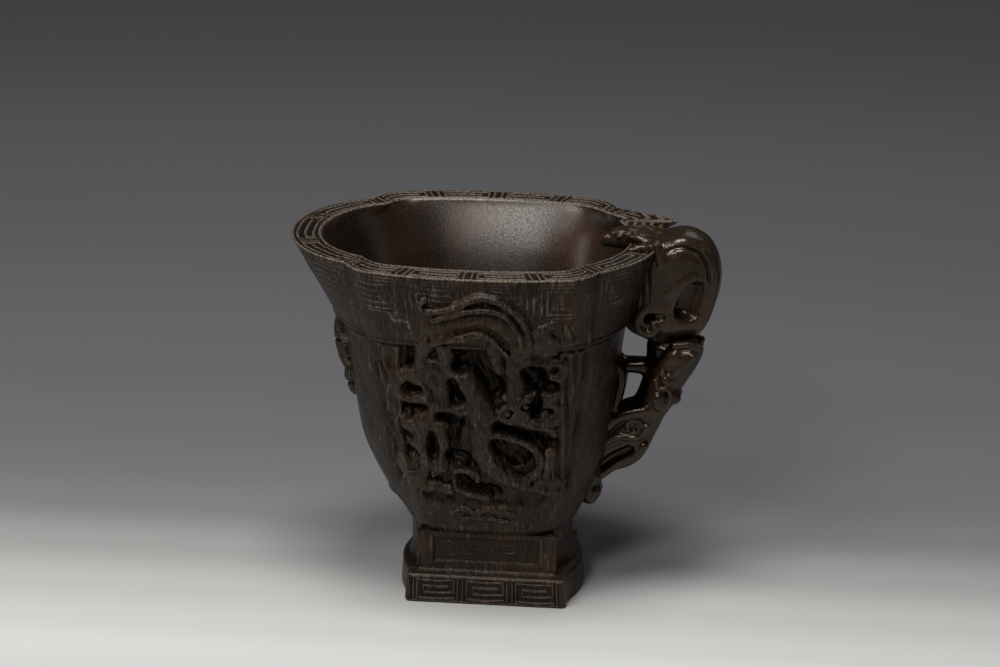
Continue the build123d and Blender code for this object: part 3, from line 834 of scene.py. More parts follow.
class Clay:
    """A solid on a grid of points, which holds the distance to its surface, negative inside."""

    def __init__(self, low, high, pitch, inward=None):
        self.pitch = pitch
        self.inward = inward
        self.axes = [np.arange(a, b + pitch, pitch) for a, b in zip(low, high)]
        self.origin = np.array([axis[0] for axis in self.axes])
        self.field = np.full([len(a) for a in self.axes], FAR_OFF)

    def window(self, low, high):
        """Slices of the grid between two corners."""
        slices = []
        for axis, a, b in zip(self.axes, low, high):
            first = max(0, int((a - axis[0]) / self.pitch))
            slices.append(slice(first, max(first, int((b - axis[0]) / self.pitch) + 2)))
        return tuple(slices)

    def grid(self, window):
        return np.meshgrid(*(a[s] for a, s in zip(self.axes, window)), indexing="ij", sparse=True)

    def reach(self, a, b, window):
        """Distance in a window to a round bar from a to b, both (x, y, z, radius)."""
        span = b[:3] - a[:3]
        gaps = [axis - start for axis, start in zip(self.grid(window), a)]
        t = sum(gap * part for gap, part in zip(gaps, span)) / max(span @ span, 1e-9)
        t = np.clip(t, 0.0, 1.0)
        gaps = [gap - t * part for gap, part in zip(gaps, span)]
        if self.inward is not None:
            gaps[self.inward] = np.minimum(gaps[self.inward], 0.0)
        return np.sqrt(sum(gap * gap for gap in gaps)) - (a[3] + t * (b[3] - a[3]))

    def stroke(self, points, margin):
        """Window and distances of a tapered tube along (x, y, z, radius) points."""
        edge = points[:, 3:] + margin
        low, high = (points[:, :3] - edge).min(0), (points[:, :3] + edge).max(0)
        if self.inward is not None:
            high[self.inward] = self.axes[self.inward][-1]
        window = self.window(low, high)
        found = np.full(self.field[window].shape, FAR_OFF)
        for a, b in zip(points, points[1:]):
            found = np.minimum(found, self.reach(a, b, window))
        return window, found

    def add(self, points, blend=0.5):
        window, found = self.stroke(np.asarray(points, float), blend + 1.0)
        self.field[window] = soft_min(self.field[window], found, blend)

    def cut(self, points, blend=0.5):
        window, found = self.stroke(np.asarray(points, float), blend + 1.0)
        self.field[window] = -soft_min(-self.field[window], found, blend)

    def keep(self, distance):
        """Keeps what lies inside another solid, given by its distances on the grid."""
        self.field = np.maximum(self.field, distance)

    def whole(self):
        return self.grid(tuple(slice(None) for _ in self.axes))

    def ridges(self):
        """Where the surface stands proud of its own blurred shape."""
        blurred = np.clip(self.field, -2.0, 2.0)
        for _ in range(BLUR_ROUNDS):
            for axis in range(3):
                ahead = np.roll(blurred, 1, axis)
                blurred = (ahead + 2 * blurred + np.roll(blurred, -1, axis)) / 4
        return blurred

    def block(self, values, corner):
        """The values at one corner of every cell of the grid."""
        return values[tuple(slice(c, c + n - 1) for c, n in zip(corner, values.shape))]

    def crossings(self, active):
        """Mean place in each active cell where its edges cross the surface, in grid steps."""
        sums = np.zeros((np.count_nonzero(active), 3))
        counts = np.zeros(len(sums))
        for corner_a in CELL_CORNERS:
            a = self.block(self.field, corner_a)[active]
            for step in np.eye(3, dtype=int)[np.equal(corner_a, 0)]:
                b = self.block(self.field, corner_a + step)[active]
                crossed = (a < 0) != (b < 0)
                t = a / np.where(crossed, a - b, 1.0)
                point = np.array(corner_a, float) + np.outer(t, step)
                sums[crossed] += point[crossed]
                counts += crossed
        return sums / counts[:, None]

    def skin(self):
        """Points, faces and rise of the surface."""
        inside = self.field < 0
        total = sum(self.block(inside, corner).astype(np.int8) for corner in CELL_CORNERS)
        active = (total > 0) & (total < len(CELL_CORNERS))
        place = np.argwhere(active)
        number = np.full(active.shape, -1)
        number[active] = np.arange(len(place))
        points = self.origin + (place + self.crossings(active)) * self.pitch
        faces = np.vstack([self.walls(inside, number, axis) for axis in range(3)])
        points = self.settled(eased(points, faces))
        ridges = self.ridges()
        rise = sum(self.block(ridges, corner)[active] for corner in (CELL_CORNERS[0], CELL_CORNERS[-1]))
        return points, faces.tolist(), np.clip(0.5 + RISE_GAIN * rise / 2, 0.0, 1.0)

    def settled(self, points):
        """Points moved along the field's slope onto its surface."""
        for _ in range(SETTLE_ROUNDS):
            place = (points - self.origin) / self.pitch
            slope = []
            for step in np.eye(3) / 2:
                slope.append(sampled(self.field, place + step) - sampled(self.field, place - step))
            slope = np.column_stack(slope)
            size = np.maximum((slope * slope).sum(1), 0.2 * self.pitch**2)
            move = slope * (sampled(self.field, place) / size)[:, None]
            points = points - self.pitch * np.clip(move, -0.5, 0.5)
        return points

    def walls(self, inside, number, axis):
        """Faces across the grid's lines along one axis."""
        first, second = (axis + 1) % 3, (axis + 2) % 3
        inner = [slice(1, -1)] * 3
        inner[axis] = slice(0, -1)
        ahead = list(inner)
        ahead[axis] = slice(1, None)
        here, there = inside[tuple(inner)], inside[tuple(ahead)]
        edges = np.argwhere(here != there)
        entering = there[here != there]
        offset = np.ones(3, int)
        offset[axis] = 0
        edges = edges + offset
        found = []
        for back_first, back_second in ((1, 1), (0, 1), (0, 0), (1, 0)):
            cell = edges.copy()
            cell[:, first] -= back_first
            cell[:, second] -= back_second
            found.append(number[tuple(cell.T)])
        faces = np.column_stack(found)
        faces[entering] = faces[entering][:, ::-1]
        return faces


# Surfaces that the reliefs stand on
WALL_STEP = 0.5
FRONT_WALL_HALF = 44.0
SIDE_WALL_HALF = 20.0


def wall_row(plan, across, axis):
    """The near wall's reach at places across a plan; axis is 0 for the front wall, 1 for the left."""
    points = outline(plan)
    near = points[points[:, 1 - axis] < 0]
    near = near[np.argsort(near[:, axis])]
    return np.interp(across, near[:, axis], near[:, 1 - axis])


def front_wall():
    """Places along X, heights and the front surface's Y on that grid, smoothed over the ledge."""
    z_axis = np.arange(WAIST_Z, RIM_Z, WALL_STEP)
    x_axis = np.arange(-FRONT_WALL_HALF, FRONT_WALL_HALF, WALL_STEP)
    rows = []
    for z in z_axis:
        body = wall_row(body_plan(min(z, LEDGE_Z)), x_axis, 0)
        neck = wall_row(neck_plan(max(z, LEDGE_Z)), x_axis, 0)
        share = smooth(LEDGE_Z - 4.0, LEDGE_Z + 1.0, z)
        rows.append((1 - share) * body + share * neck)
    return x_axis, z_axis, np.array(rows)


def side_wall():
    """Places along Y, heights and the left surface's X on that grid."""
    z_axis = np.arange(WAIST_Z, LEDGE_Z + WALL_STEP, WALL_STEP)
    y_axis = np.arange(-SIDE_WALL_HALF, SIDE_WALL_HALF, WALL_STEP)
    rows = [wall_row(body_plan(min(z, LEDGE_Z)), y_axis, 1) for z in z_axis]
    return y_axis, z_axis, np.array(rows)


def on_wall(wall, across, up):
    """The wall's reach at places across and up, from its grid."""
    axis, z_axis, rows = wall
    i = np.clip((across - axis[0]) / (axis[1] - axis[0]), 0, len(axis) - 1.001)
    k = np.clip((up - z_axis[0]) / (z_axis[1] - z_axis[0]), 0, len(z_axis) - 1.001)
    i0, k0 = i.astype(int), k.astype(int)
    a, b = i - i0, k - k0
    low = (1 - a) * rows[k0, i0] + a * rows[k0, i0 + 1]
    high = (1 - a) * rows[k0 + 1, i0] + a * rows[k0 + 1, i0 + 1]
    return (1 - b) * low + b * high


# Reliefs
RELIEF_PITCH = 0.3
RELIEF_ROOT = PANEL_DEPTH + HOLLOW_DEPTH
RELIEF_TOP = 3.6
RELIEF_WEAR = {"arch_dragon": 0.3, "climbing_dragon": 0.7, "scrolls": 0.6}
RELIEF_SPANS = 6
LEAST_RADIUS = 0.25


def relief_clay(low, high):
    """Clay on the front wall between two (x, z) corners; its Y goes into the wall."""
    near = (low[0], -RELIEF_TOP, low[1])
    far = (high[0], RELIEF_ROOT + 0.6, high[1])
    return Clay(near, far, RELIEF_PITCH, inward=1)


def tube(points, top, per_span=RELIEF_SPANS):
    """Stroke on a wall from (x, z, radius) points, its crest standing top above the wall."""
    x, z, radius = curve(points, per_span).T
    radius = np.maximum(radius, LEAST_RADIUS)
    return np.column_stack([x, radius - top, z, radius])


def even(points, radius):
    """Points of a stroke of one radius."""
    return [(x, z, radius) for x, z in points]


def swollen(points, share):
    """A stroke's points with every radius times a share."""
    return [(x, z, share * radius) for x, z, radius in points]


def spiral(x, z, start, end, turns, begin, radius):
    """Points of a flat spiral about (x, z) from one distance to another, angles in turns."""
    found = []
    steps = int(abs(turns) * 10) + 2
    for share in np.linspace(0, 1, steps):
        angle = 2 * math.pi * (begin + turns * share)
        away = start + (end - start) * share
        found.append((x + away * math.cos(angle), z + away * math.sin(angle), radius))
    return found


# Arch dragon: its body bends over the neck as a ribbon of three ridges, and its head hangs at the right.
ARCH_OUTER = [
    (-15.3, 104.0), (-16.6, 102.0), (-14.6, 100.2), (-10.5, 100.6), (-6.0, 102.2), (-2.0, 104.4),
    (1.5, 105.4), (5.2, 104.8), (8.4, 103.0), (11.4, 100.2), (13.6, 97.0), (14.8, 93.2),
    (15.0, 89.4), (14.2, 86.0),
]
ARCH_MIDDLE = [
    (-12.6, 97.6), (-6.5, 99.9), (-2.0, 101.2), (2.0, 101.7), (6.0, 101.0), (9.0, 99.2),
    (11.0, 96.4), (12.2, 93.4), (12.8, 90.2), (12.6, 87.4),
]
ARCH_INNER = [
    (-13.2, 89.4), (-10.5, 90.6), (-5.0, 91.6), (-0.5, 92.7), (2.0, 93.0), (5.0, 91.0),
    (7.4, 88.4), (8.8, 85.6), (9.4, 82.6),
]
ARCH_GROOVE = [(-6.0, 93.8), (-1.6, 95.2), (1.6, 95.6), (5.2, 93.0), (7.6, 89.6), (8.6, 86.6)]
ARCH_BODY = [
    (-13.0, 94.0, 4.6), (-6.5, 95.8, 5.2), (-1.0, 97.2, 5.4), (3.5, 97.2, 5.4), (7.5, 95.0, 5.2),
    (10.4, 91.6, 4.8), (11.8, 87.6, 4.4), (12.0, 83.4, 3.8),
]
ARCH_NECK = [
    (12.6, 87.5, 3.8), (12.0, 83.0, 3.6), (10.8, 77.6, 3.2), (10.2, 73.0, 3.0), (10.6, 69.5, 3.4),
]
HANGING_LEAF = [(5.2, 91.0, 2.0), (4.4, 87.4, 3.0), (4.6, 83.6, 3.4), (5.6, 80.6, 2.6)]
ARCH_UNDERSIDE = [(-12.6, 91.0, 1.6), (-5.0, 93.0, 2.0), (1.0, 93.6, 1.6)]
ARCH_SHOULDER = [(13.8, 85.4, 2.6), (13.0, 81.0, 2.2), (12.0, 76.4, 1.4)]
ARCH_CREST = [(7.4, 87.6, 0.7), (8.4, 84.0, 0.8), (8.6, 79.6, 0.6)]
HEAD = (10.8, 66.8)
# Strokes of the body in the order of work: points, how far the crest stands out, blend
ARCH_STROKES = [
    (ARCH_BODY, 0.9, 0.8),
    (even(ARCH_OUTER[4:], 2.4), 0.9, 0.9),
    (even(ARCH_OUTER, 1.1), 1.9, 0.7),
    (even(ARCH_MIDDLE, 0.9), 2.1, 0.7),
    (even(ARCH_INNER, 1.2), 2.1, 0.8),
    (ARCH_UNDERSIDE, 1.4, 0.9),
    (ARCH_NECK, 2.3, 1.0),
    (ARCH_SHOULDER, 1.2, 0.9),
    (HANGING_LEAF, 1.5, 0.8),
]


def arch_dragon():
    clay = relief_clay((-21.0, 55.0), (22.0, 108.5))
    for points, top, blend in ARCH_STROKES:
        clay.add(tube(points, top), blend)
    clay.cut(tube(even(ARCH_GROOVE, 0.8), 1.7), 0.7)
    clay.add(tube(ARCH_CREST, 2.0), 0.6)
    add_head(clay, *HEAD)
    return clay


def add_head(clay, x, z):
    """Dragon's head seen from above, muzzle down to the left, with two round eyes."""
    clay.add(tube([(x + 0.8, z + 3.6, 4.0), (x, z, 4.6), (x - 1.6, z - 3.2, 3.4)], 2.2), 1.0)
    clay.add(tube([(x - 1.4, z - 3.0, 2.8), (x - 2.8, z - 5.2, 2.3)], 2.5), 0.8)
    clay.add(tube([(x + 0.6, z + 4.6, 0.8), (x - 0.4, z + 0.4, 0.9), (x - 2.0, z - 4.0, 0.8)], 2.9), 0.7)
    for side in (-1, 1):
        eye_x, eye_z = x + side * 2.75, z + 0.9 + side * 1.2
        clay.cut(tube(spiral(eye_x, eye_z, 1.4, 1.4, 1.0, 0.0, 0.4), 2.4), 0.3)
        clay.add(tube([(eye_x, eye_z, 0.95), (eye_x + 0.2, eye_z - 0.2, 0.95)], 2.7), 0.25)
        brow = [(eye_x - side * 1.6, eye_z + 1.7, 0.7), (eye_x + side * 0.6, eye_z + 2.0, 0.8)]
        clay.add(tube(brow + [(eye_x + side * 2.3, eye_z + 0.4, 0.6)], 2.7), 0.5)
        ear = [(x + side * 2.2, z + 4.0, 1.5), (x + side * 4.6, z + 5.2, 1.2)]
        clay.add(tube(ear + [(x + side * 6.0, z + 7.4, 0.6)], 1.8), 0.6)
        cheek = [(x + side * 3.4 - 0.6, z - 1.6, 1.4), (x + side * 2.8 - 2.0, z - 4.2, 1.1)]
        clay.add(tube(cheek, 1.7), 0.6)
        nostril = [(x - 2.8 + side * 0.9, z - 5.4, 0.45), (x - 3.0 + side * 1.3, z - 6.0, 0.35)]
        clay.cut(tube(nostril, 2.8), 0.25)


# Climbing dragon: a broad smooth body, limbs that grip the ground and a tail that loops at the right.
CLIMBER_BODY = [
    (-10.0, 86.5, 2.8), (-9.2, 81.0, 3.2), (-5.8, 76.0, 3.4), (-1.6, 71.4, 3.8), (0.0, 66.2, 4.2),
    (0.2, 60.8, 4.2), (0.0, 55.6, 4.0), (0.8, 50.8, 4.0), (3.4, 46.4, 3.8), (7.4, 43.0, 3.2),
    (12.0, 40.6, 2.0),
]
CLIMBER_LIMBS = [
    [(-10.2, 77.4, 2.4), (-11.4, 72.2, 2.4), (-12.4, 67.6, 2.4), (-15.6, 63.4, 2.2), (-20.2, 59.8, 1.7)],
    [(-4.0, 66.2, 1.9), (-8.6, 66.4, 1.8), (-13.0, 66.8, 1.7), (-17.8, 69.2, 1.5)],
    [(-11.8, 60.6, 1.9), (-12.2, 57.4, 2.1), (-11.4, 54.4, 2.1), (-12.0, 50.6, 1.9), (-12.4, 46.0, 1.6)],
    [(-17.8, 60.0, 1.7), (-18.0, 55.6, 1.9), (-18.2, 50.6, 1.6), (-17.0, 46.6, 1.4)],
    [(2.6, 58.4, 1.3), (7.6, 57.2, 1.1), (11.4, 55.9, 1.0), (15.2, 53.6, 1.0), (16.9, 49.0, 1.0),
     (15.6, 44.8, 1.1), (12.0, 41.6, 1.3)],
    [(3.4, 64.8, 2.0), (8.8, 63.8, 1.7), (13.6, 61.8, 1.5), (18.6, 60.2, 1.2)],
    [(-14.4, 80.6, 2.4), (-16.0, 76.8, 2.3), (-13.0, 74.8, 2.2), (-10.6, 73.2, 2.2)],
    [(-4.4, 79.0, 1.6), (-1.4, 75.0, 1.8), (0.6, 71.2, 2.0)],
]
CLIMBER_LIMB_SWELL = 1.35
CLIMBER_CLAWS = [(-20.2, 59.8), (-17.8, 69.2), (-12.4, 46.0), (18.6, 60.2)]
CLIMBER_HOOKS = [
    [(-8.0, 44.4, 0.9), (-4.8, 45.4, 1.1), (-1.8, 44.2, 1.0), (-1.6, 42.0, 0.8)],
    [(-8.4, 41.0, 0.9), (-7.4, 38.6, 1.2), (-4.0, 36.9, 1.3), (1.0, 36.0, 1.1)],
]


def climbing_dragon():
    clay = relief_clay((-26.0, 33.0), (24.0, 91.0))
    clay.add(tube(CLIMBER_BODY, 2.2), 0.8)
    for limb in CLIMBER_LIMBS:
        clay.add(tube(swollen(limb, CLIMBER_LIMB_SWELL), 1.4), 1.6)
    for x, z in CLIMBER_CLAWS:
        side = math.copysign(1.0, x)
        for turn in (-1, 0, 1):
            claw = [(x, z, 1.4), (x + 1.4 * side, z - 0.8 + 1.2 * turn, 1.2)]
            clay.add(tube(claw + [(x + 2.6 * side, z - 2.0 + 1.5 * turn, 0.7)], 1.1), 0.8)
    for hook in CLIMBER_HOOKS:
        clay.add(tube(hook, 1.3), 0.7)
    return clay


# Scrolls, leaves and blocks around the dragons
C_SCROLLS = [
    spiral(-20.6, 71.6, 4.2, 3.6, 0.78, 0.42, 1.5),
    spiral(-21.2, 45.6, 4.4, 3.6, 0.75, 0.42, 1.5),
    spiral(22.0, 80.4, 2.8, 2.4, 0.6, 0.7, 1.2),
    spiral(20.4, 66.0, 3.2, 2.2, -0.8, 0.35, 1.3),
]
LEAVES = [
    [(-23.4, 76.6, 1.8), (-19.0, 78.4, 2.4), (-14.6, 80.2, 1.8)],
    [(-17.6, 82.4, 2.0), (-16.6, 86.0, 2.4), (-14.8, 89.0, 1.8)],
    [(-23.4, 62.0, 1.2), (-21.6, 56.4, 1.9), (-18.6, 52.0, 1.8), (-17.8, 47.4, 1.3)],
    [(16.4, 41.8, 1.3), (19.6, 42.2, 1.8), (22.6, 40.6, 1.1)],
    [(14.6, 39.4, 1.2), (18.6, 38.4, 1.5), (21.2, 37.6, 0.9)],
    [(16.6, 93.6, 1.2), (19.6, 95.2, 1.4), (22.2, 96.4, 1.5), (24.6, 95.2, 1.3), (26.4, 93.0, 0.9)],
    [(20.8, 91.6, 1.4), (24.4, 90.4, 1.6), (28.4, 90.6, 1.2)],
    [(15.6, 70.4, 1.4), (19.0, 70.8, 1.8), (22.6, 72.0, 1.3)],
    [(15.4, 62.6, 1.2), (18.4, 61.8, 1.6), (21.6, 62.6, 1.2)],
    [(-22.0, 39.0, 1.3), (-16.4, 38.6, 1.9), (-10.6, 38.0, 1.5)],
    [(20.4, 55.2, 1.0), (20.0, 50.0, 1.3), (19.0, 45.2, 1.0)],
]
SCROLL_SWELL = 1.4
BLOCK = [(17.4, 92.4, 2.8), (17.6, 86.8, 2.8), (20.4, 86.8, 2.8), (20.2, 92.4, 2.8), (18.8, 89.6, 2.8)]
CLOUD = [
    [(-9.4, 30.0, 0.9), (-6.2, 31.4, 1.5), (-2.4, 30.2, 1.2), (1.0, 31.8, 1.6), (4.2, 31.2, 1.3),
     (8.4, 29.8, 0.9)],
    [(-6.4, 27.8, 0.8), (-2.0, 28.4, 1.2), (2.6, 28.0, 1.2), (6.6, 27.4, 0.8)],
]


def scrolls():
    clay = relief_clay((-30.0, 24.0), (32.0, 99.0))
    for stroke in C_SCROLLS + LEAVES:
        clay.add(tube(swollen(stroke, SCROLL_SWELL), 1.1), 1.3)
    clay.add(tube(BLOCK, 1.0, 3), 1.0)
    for stroke in CLOUD:
        clay.add(tube(stroke, 0.9), 0.5)
    return clay


def open_hollows(clay):
    """Cuts the panel's hollows right through what lies over them."""
    for points, radius, share in HOLLOWS:
        clay.cut([(x, -RELIEF_TOP, z, 0.8 * share * radius) for x, z in points], 2.4)


def make_reliefs(carved):
    """Front reliefs, and the same behind."""
    wall = front_wall()
    made = {"arch_dragon": arch_dragon(), "climbing_dragon": climbing_dragon(), "scrolls": scrolls()}
    for name, clay in made.items():
        x, depth, z = clay.whole()
        clay.field = clay.field + RELIEF_WEAR[name] * ripple(x, z)
        open_hollows(clay)
        clay.keep(depth - RELIEF_ROOT)
        points, faces, rise = clay.skin()
        points[:, 1] += on_wall(wall, points[:, 0], points[:, 2])
        front = make_piece(f"front_{name}_carved", points, faces, [carved], rise)
        dress(front, "carved_horn", f"front_{name}")
        flipped = [face[::-1] for face in faces]
        back = make_piece(f"back_{name}_carved", points * (1, -1, 1), flipped, [carved], rise)
        dress(back, "carved_horn", f"back_{name}")


# Small dragon under the spout: strokes of (y, z, radius, how far the crest stands out)
SPOUT_BODY = [
    (0.2, 87.6, 2.4, 1.6), (0.4, 82.6, 3.2, 3.2), (0.6, 79.2, 3.7, 4.2), (0.0, 75.4, 3.8, 4.4),
    (-0.2, 71.4, 3.5, 4.0), (0.2, 67.6, 3.0, 3.1), (0.2, 64.0, 2.9, 3.0), (0.2, 61.0, 2.5, 2.7),
    (0.2, 60.0, 1.8, 2.2),
]
SPOUT_LIMBS = [
    [(-1.6, 79.0, 1.6, 3.6), (-4.0, 77.0, 1.5, 2.8), (-5.2, 73.4, 1.2, 2.0)],
    [(1.8, 80.4, 1.6, 3.6), (4.4, 79.6, 1.5, 2.8), (5.2, 76.2, 1.2, 2.0)],
    [(-1.4, 71.0, 1.5, 3.4), (-4.0, 69.4, 1.4, 2.6), (-5.0, 66.4, 1.1, 1.8)],
    [(1.4, 69.4, 1.5, 3.2), (4.0, 68.8, 1.4, 2.6), (4.8, 71.6, 1.1, 1.8)],
    [(-1.0, 64.6, 1.5, 3.1), (-2.8, 65.6, 1.2, 2.4), (-3.6, 63.6, 0.9, 1.8)],
    [(-2.4, 84.4, 1.0, 2.4), (-3.0, 80.6, 1.0, 3.0)],
]
SPOUT_FOLDS = [76.3, 67.2, 62.6]
SPOUT_TOP = 4.8
SPOUT_ROOT = 0.9
SPOUT_PITCH = 0.28


def side_tube(points):
    """Stroke on the left wall from (y, z, radius, top) points."""
    y, z, radius, top = curve(points, RELIEF_SPANS).T
    return np.column_stack([radius - top, y, z, radius])


def make_spout_dragon(carved):
    clay = Clay((-SPOUT_TOP - 0.9, -7.5, 56.5), (1.6, 7.5, 90.5), SPOUT_PITCH, inward=0)
    clay.add(side_tube(SPOUT_BODY), 0.8)
    for limb in SPOUT_LIMBS:
        clay.add(side_tube(limb), 0.9)
    for z in SPOUT_FOLDS:
        fold = [(-4.6, z + 0.9, 0.4, 2.4), (0.0, z, 0.4, 4.3), (4.6, z + 0.9, 0.4, 2.4)]
        clay.cut(side_tube(fold), 0.7)
    clay.keep(clay.whole()[0] - SPOUT_ROOT)
    points, faces, rise = clay.skin()
    points[:, 0] += on_wall(side_wall(), points[:, 1], points[:, 2])
    dragon = make_piece("spout_dragon_carved", points, faces, [carved], rise)
    dress(dragon, "carved_horn", "spout_dragon")


# Handle: strokes are added or cut at a distance from its middle plane
Stroke = namedtuple("Stroke", "work away radius blend points")
ADD = Clay.add
CUT = Clay.cut
HANDLE_PITCH = 0.32
HANDLE_SPANS = 5
SIDES = (-1, 1)


def on_face(side, away, points):
    """Stroke at a distance from the handle's middle plane, from (x, z, radius) points."""
    return [(x, side * away, z, radius) for x, z, radius in points]


def carve(clay, side, strokes):
    """Works strokes of (x, z) points into one face of the handle."""
    for stroke in strokes:
        points = even(curve(stroke.points, HANDLE_SPANS), stroke.radius)
        stroke.work(clay, on_face(side, stroke.away, points), stroke.blend)


def side_bar(side, points, radius):
    """Stroke of one radius on one side, from (x, distance from the middle plane, z) points."""
    placed = [(x, side * away, z) for x, away, z in points]
    return [(*point, radius) for point in curve(placed, HANDLE_SPANS)]


def loop_distance(corners, x, z):
    """Signed distance in a plane to a closed outline, negative inside."""
    ring_points = np.vstack([corners, corners[:1]])
    away = line_distance(x, z, ring_points)
    inside = np.zeros(away.shape, bool)
    for (x0, z0), (x1, z1) in zip(ring_points, ring_points[1:]):
        if z0 == z1:
            continue
        crosses = ((z0 > z) != (z1 > z)) & (x < (x1 - x0) * (z - z0) / (z1 - z0) + x0)
        inside ^= crosses
    return np.where(inside, -away, away)


SCROLL_SIDE = [
    (44.0, 112.6), (48.0, 113.6), (51.5, 114.4), (55.4, 115.4), (58.6, 115.3), (61.6, 114.2),
    (64.6, 112.0), (67.0, 107.8), (68.0, 103.0), (67.8, 98.2), (66.6, 93.4), (65.2, 88.8),
    (63.2, 84.8), (60.0, 81.4), (54.5, 79.4), (49.0, 79.6), (44.6, 81.4), (41.5, 83.2),
    (39.5, 86.0), (39.8, 90.0), (42.0, 97.0), (43.0, 103.0), (42.4, 108.0), (41.6, 110.4),
]
CHEEK = (56.5, 107.0)
# Strokes of the hollow in the scroll, (x, distance from the middle plane, radius): deep at the left
PIT = [(57.2, 4.9, 2.4), (59.2, 6.3, 3.0), (61.2, 7.9, 3.4), (62.8, 9.4, 3.6)]
SCROLL_LIP = [(52.8, 97.6, 0.9), (55.6, 100.2, 1.3), (58.0, 102.0, 1.2), (60.4, 103.2, 0.7)]
SCROLL_FOLD = Stroke(ADD, 8.2, 1.0, 1.6, [(49.2, 112.8), (49.8, 110.8), (51.0, 107.6)])
VOLUTE_LINE = [
    (52.8, 93.4), (48.8, 93.4), (45.6, 91.8), (43.9, 88.4), (44.8, 85.6), (47.2, 84.6), (49.4, 86.0),
    (48.8, 87.4),
]
VOLUTE = Stroke(ADD, 6.3, 1.45, 0.5, VOLUTE_LINE)
VOLUTE_SLOT = [(48.2, 89.6, 1.5), (51.2, 90.0, 1.1)]


def handle_half_width(x, z):
    """Half the scroll's width across Y: broad at the shoulder, slimmer outwards and down."""
    out = smooth(50.0, 68.0, x)
    down = smooth(104.0, 82.0, z)
    under = smooth(88.0, 79.0, z)
    cheek = np.exp(-((x - CHEEK[0]) ** 2 + (z - CHEEK[1]) ** 2) / 40.0)
    return 8.8 - 2.0 * out - 1.4 * down - 3.0 * under + 1.2 * cheek


def scroll_body():
    """The arched ribbon: a rounded outer edge, a groove inside it and a domed cheek."""
    clay = Clay((29.0, -11.5, 77.6), (69.0, 11.5, 118.6), HANDLE_PITCH)
    x, y, z = clay.whole()
    side = curve(SCROLL_SIDE, HANDLE_SPANS, closed=True)
    edge = loop_distance(side, x[:, :, 0], z[0, :, :])[:, None, :]
    along_edge = smooth(51.0, 55.0, x) * smooth(97.0, 102.0, z)
    groove = 0.9 * hump(3.3, 1.0, -edge) * along_edge
    ribs = 0.1 * np.sin(3.1 * x + 0.4 * np.sin(0.5 * z)) * fade(48.0, 51.0, x)
    pillow = 1.7 * fade(0.0, 9.0, -edge)
    half = handle_half_width(x, z) - groove - ribs - pillow
    crown = 0.028 * y * y
    clay.field = -soft_min(-(edge + crown), half - np.abs(y), 2.0)
    return clay


def add_scroll_details(clay):
    """Lip, hollow, fold and volute on both faces of the scroll."""
    for side in SIDES:
        clay.add(on_face(side, 7.7, curve(SCROLL_LIP, HANDLE_SPANS)), 1.6)
        for x, away, radius in PIT:
            pit = [(x - 0.6, 91.8, radius), (x + 0.2, 94.6, radius), (x + 1.8, 98.6, 0.8 * radius)]
            clay.cut(on_face(side, away, pit), 1.6)
        carve(clay, side, [SCROLL_FOLD])
        clay.cut([(47.6, side * 7.8, 89.0, 2.0), (47.4, side * 4.6, 88.8, 1.4)], 0.6)
        clay.cut(on_face(side, 7.6, VOLUTE_SLOT), 0.6)
        carve(clay, side, [VOLUTE])


# Lines of the dragon's head over the rim, (x, distance from the middle plane, z)
HANDLE_BROW = [(36.0, 1.4, 113.6), (38.0, 1.6, 114.3), (40.4, 2.2, 114.2)]
HANDLE_EAR = [(41.0, 2.6, 113.4), (43.4, 4.2, 113.4), (46.0, 5.0, 112.6)]
HANDLE_LEG = [(48.6, 5.4, 111.6), (46.6, 7.8, 111.6), (43.6, 8.6, 111.5)]
HANDLE_CLAWS = (-1.2, 0.0, 1.2)


def add_handle_head(clay):
    """Dragon's head that looks over the rim into the bowl, with its shoulders and forelegs."""
    clay.add([(48.0, 0.0, 110.8, 3.6), (43.4, 0.0, 111.4, 3.2), (40.2, 0.0, 111.8, 3.0)], 1.6)
    clay.add([(40.0, 0.0, 111.8, 3.1), (36.4, 0.0, 111.4, 2.6), (33.8, 0.0, 111.0, 2.0)], 1.2)
    clay.cut([(38.0, 0.0, 110.4, 0.4), (33.0, 0.0, 110.2, 0.5), (31.0, 0.0, 110.0, 0.7)], 0.4)
    for side in SIDES:
        clay.cut([(38.2, side * 2.9, 113.6, 1.0), (37.8, side * 3.0, 113.5, 1.0)], 0.4)
        clay.add([(38.2, side * 2.5, 113.2, 0.85), (37.9, side * 2.6, 113.1, 0.85)], 0.2)
        clay.add(side_bar(side, HANDLE_BROW, 0.7), 0.9)
        clay.add(side_bar(side, HANDLE_EAR, 1.1), 1.2)
        clay.add([(34.0, side * 1.2, 112.4, 0.7), (33.6, side * 1.3, 112.1, 0.7)], 0.5)
        clay.add(side_bar(side, HANDLE_LEG, 1.5), 1.2)
        for claw in HANDLE_CLAWS:
            toe = [(43.8, side * 8.5 + 0.6 * claw, 111.7), (41.6, side * 8.1 + claw, 111.5)]
            clay.add([(*point, 0.7) for point in curve(toe, 4)], 0.4)


def make_scroll(polished):
    clay = scroll_body()
    add_scroll_details(clay)
    add_handle_head(clay)
    points, faces, rise = clay.skin()
    # Painted shade: the scroll's underside above the branch loses its rise and takes the dark colour
    under = fade(81.0, 87.0, points[:, 2]) * smooth(48.0, 51.0, points[:, 0])
    rise = rise * (1 - 0.9 * under)
    scroll = make_piece("handle_arch_carved", points, faces, [polished], rise)
    dress(scroll, "polished_horn", "handle_arch")


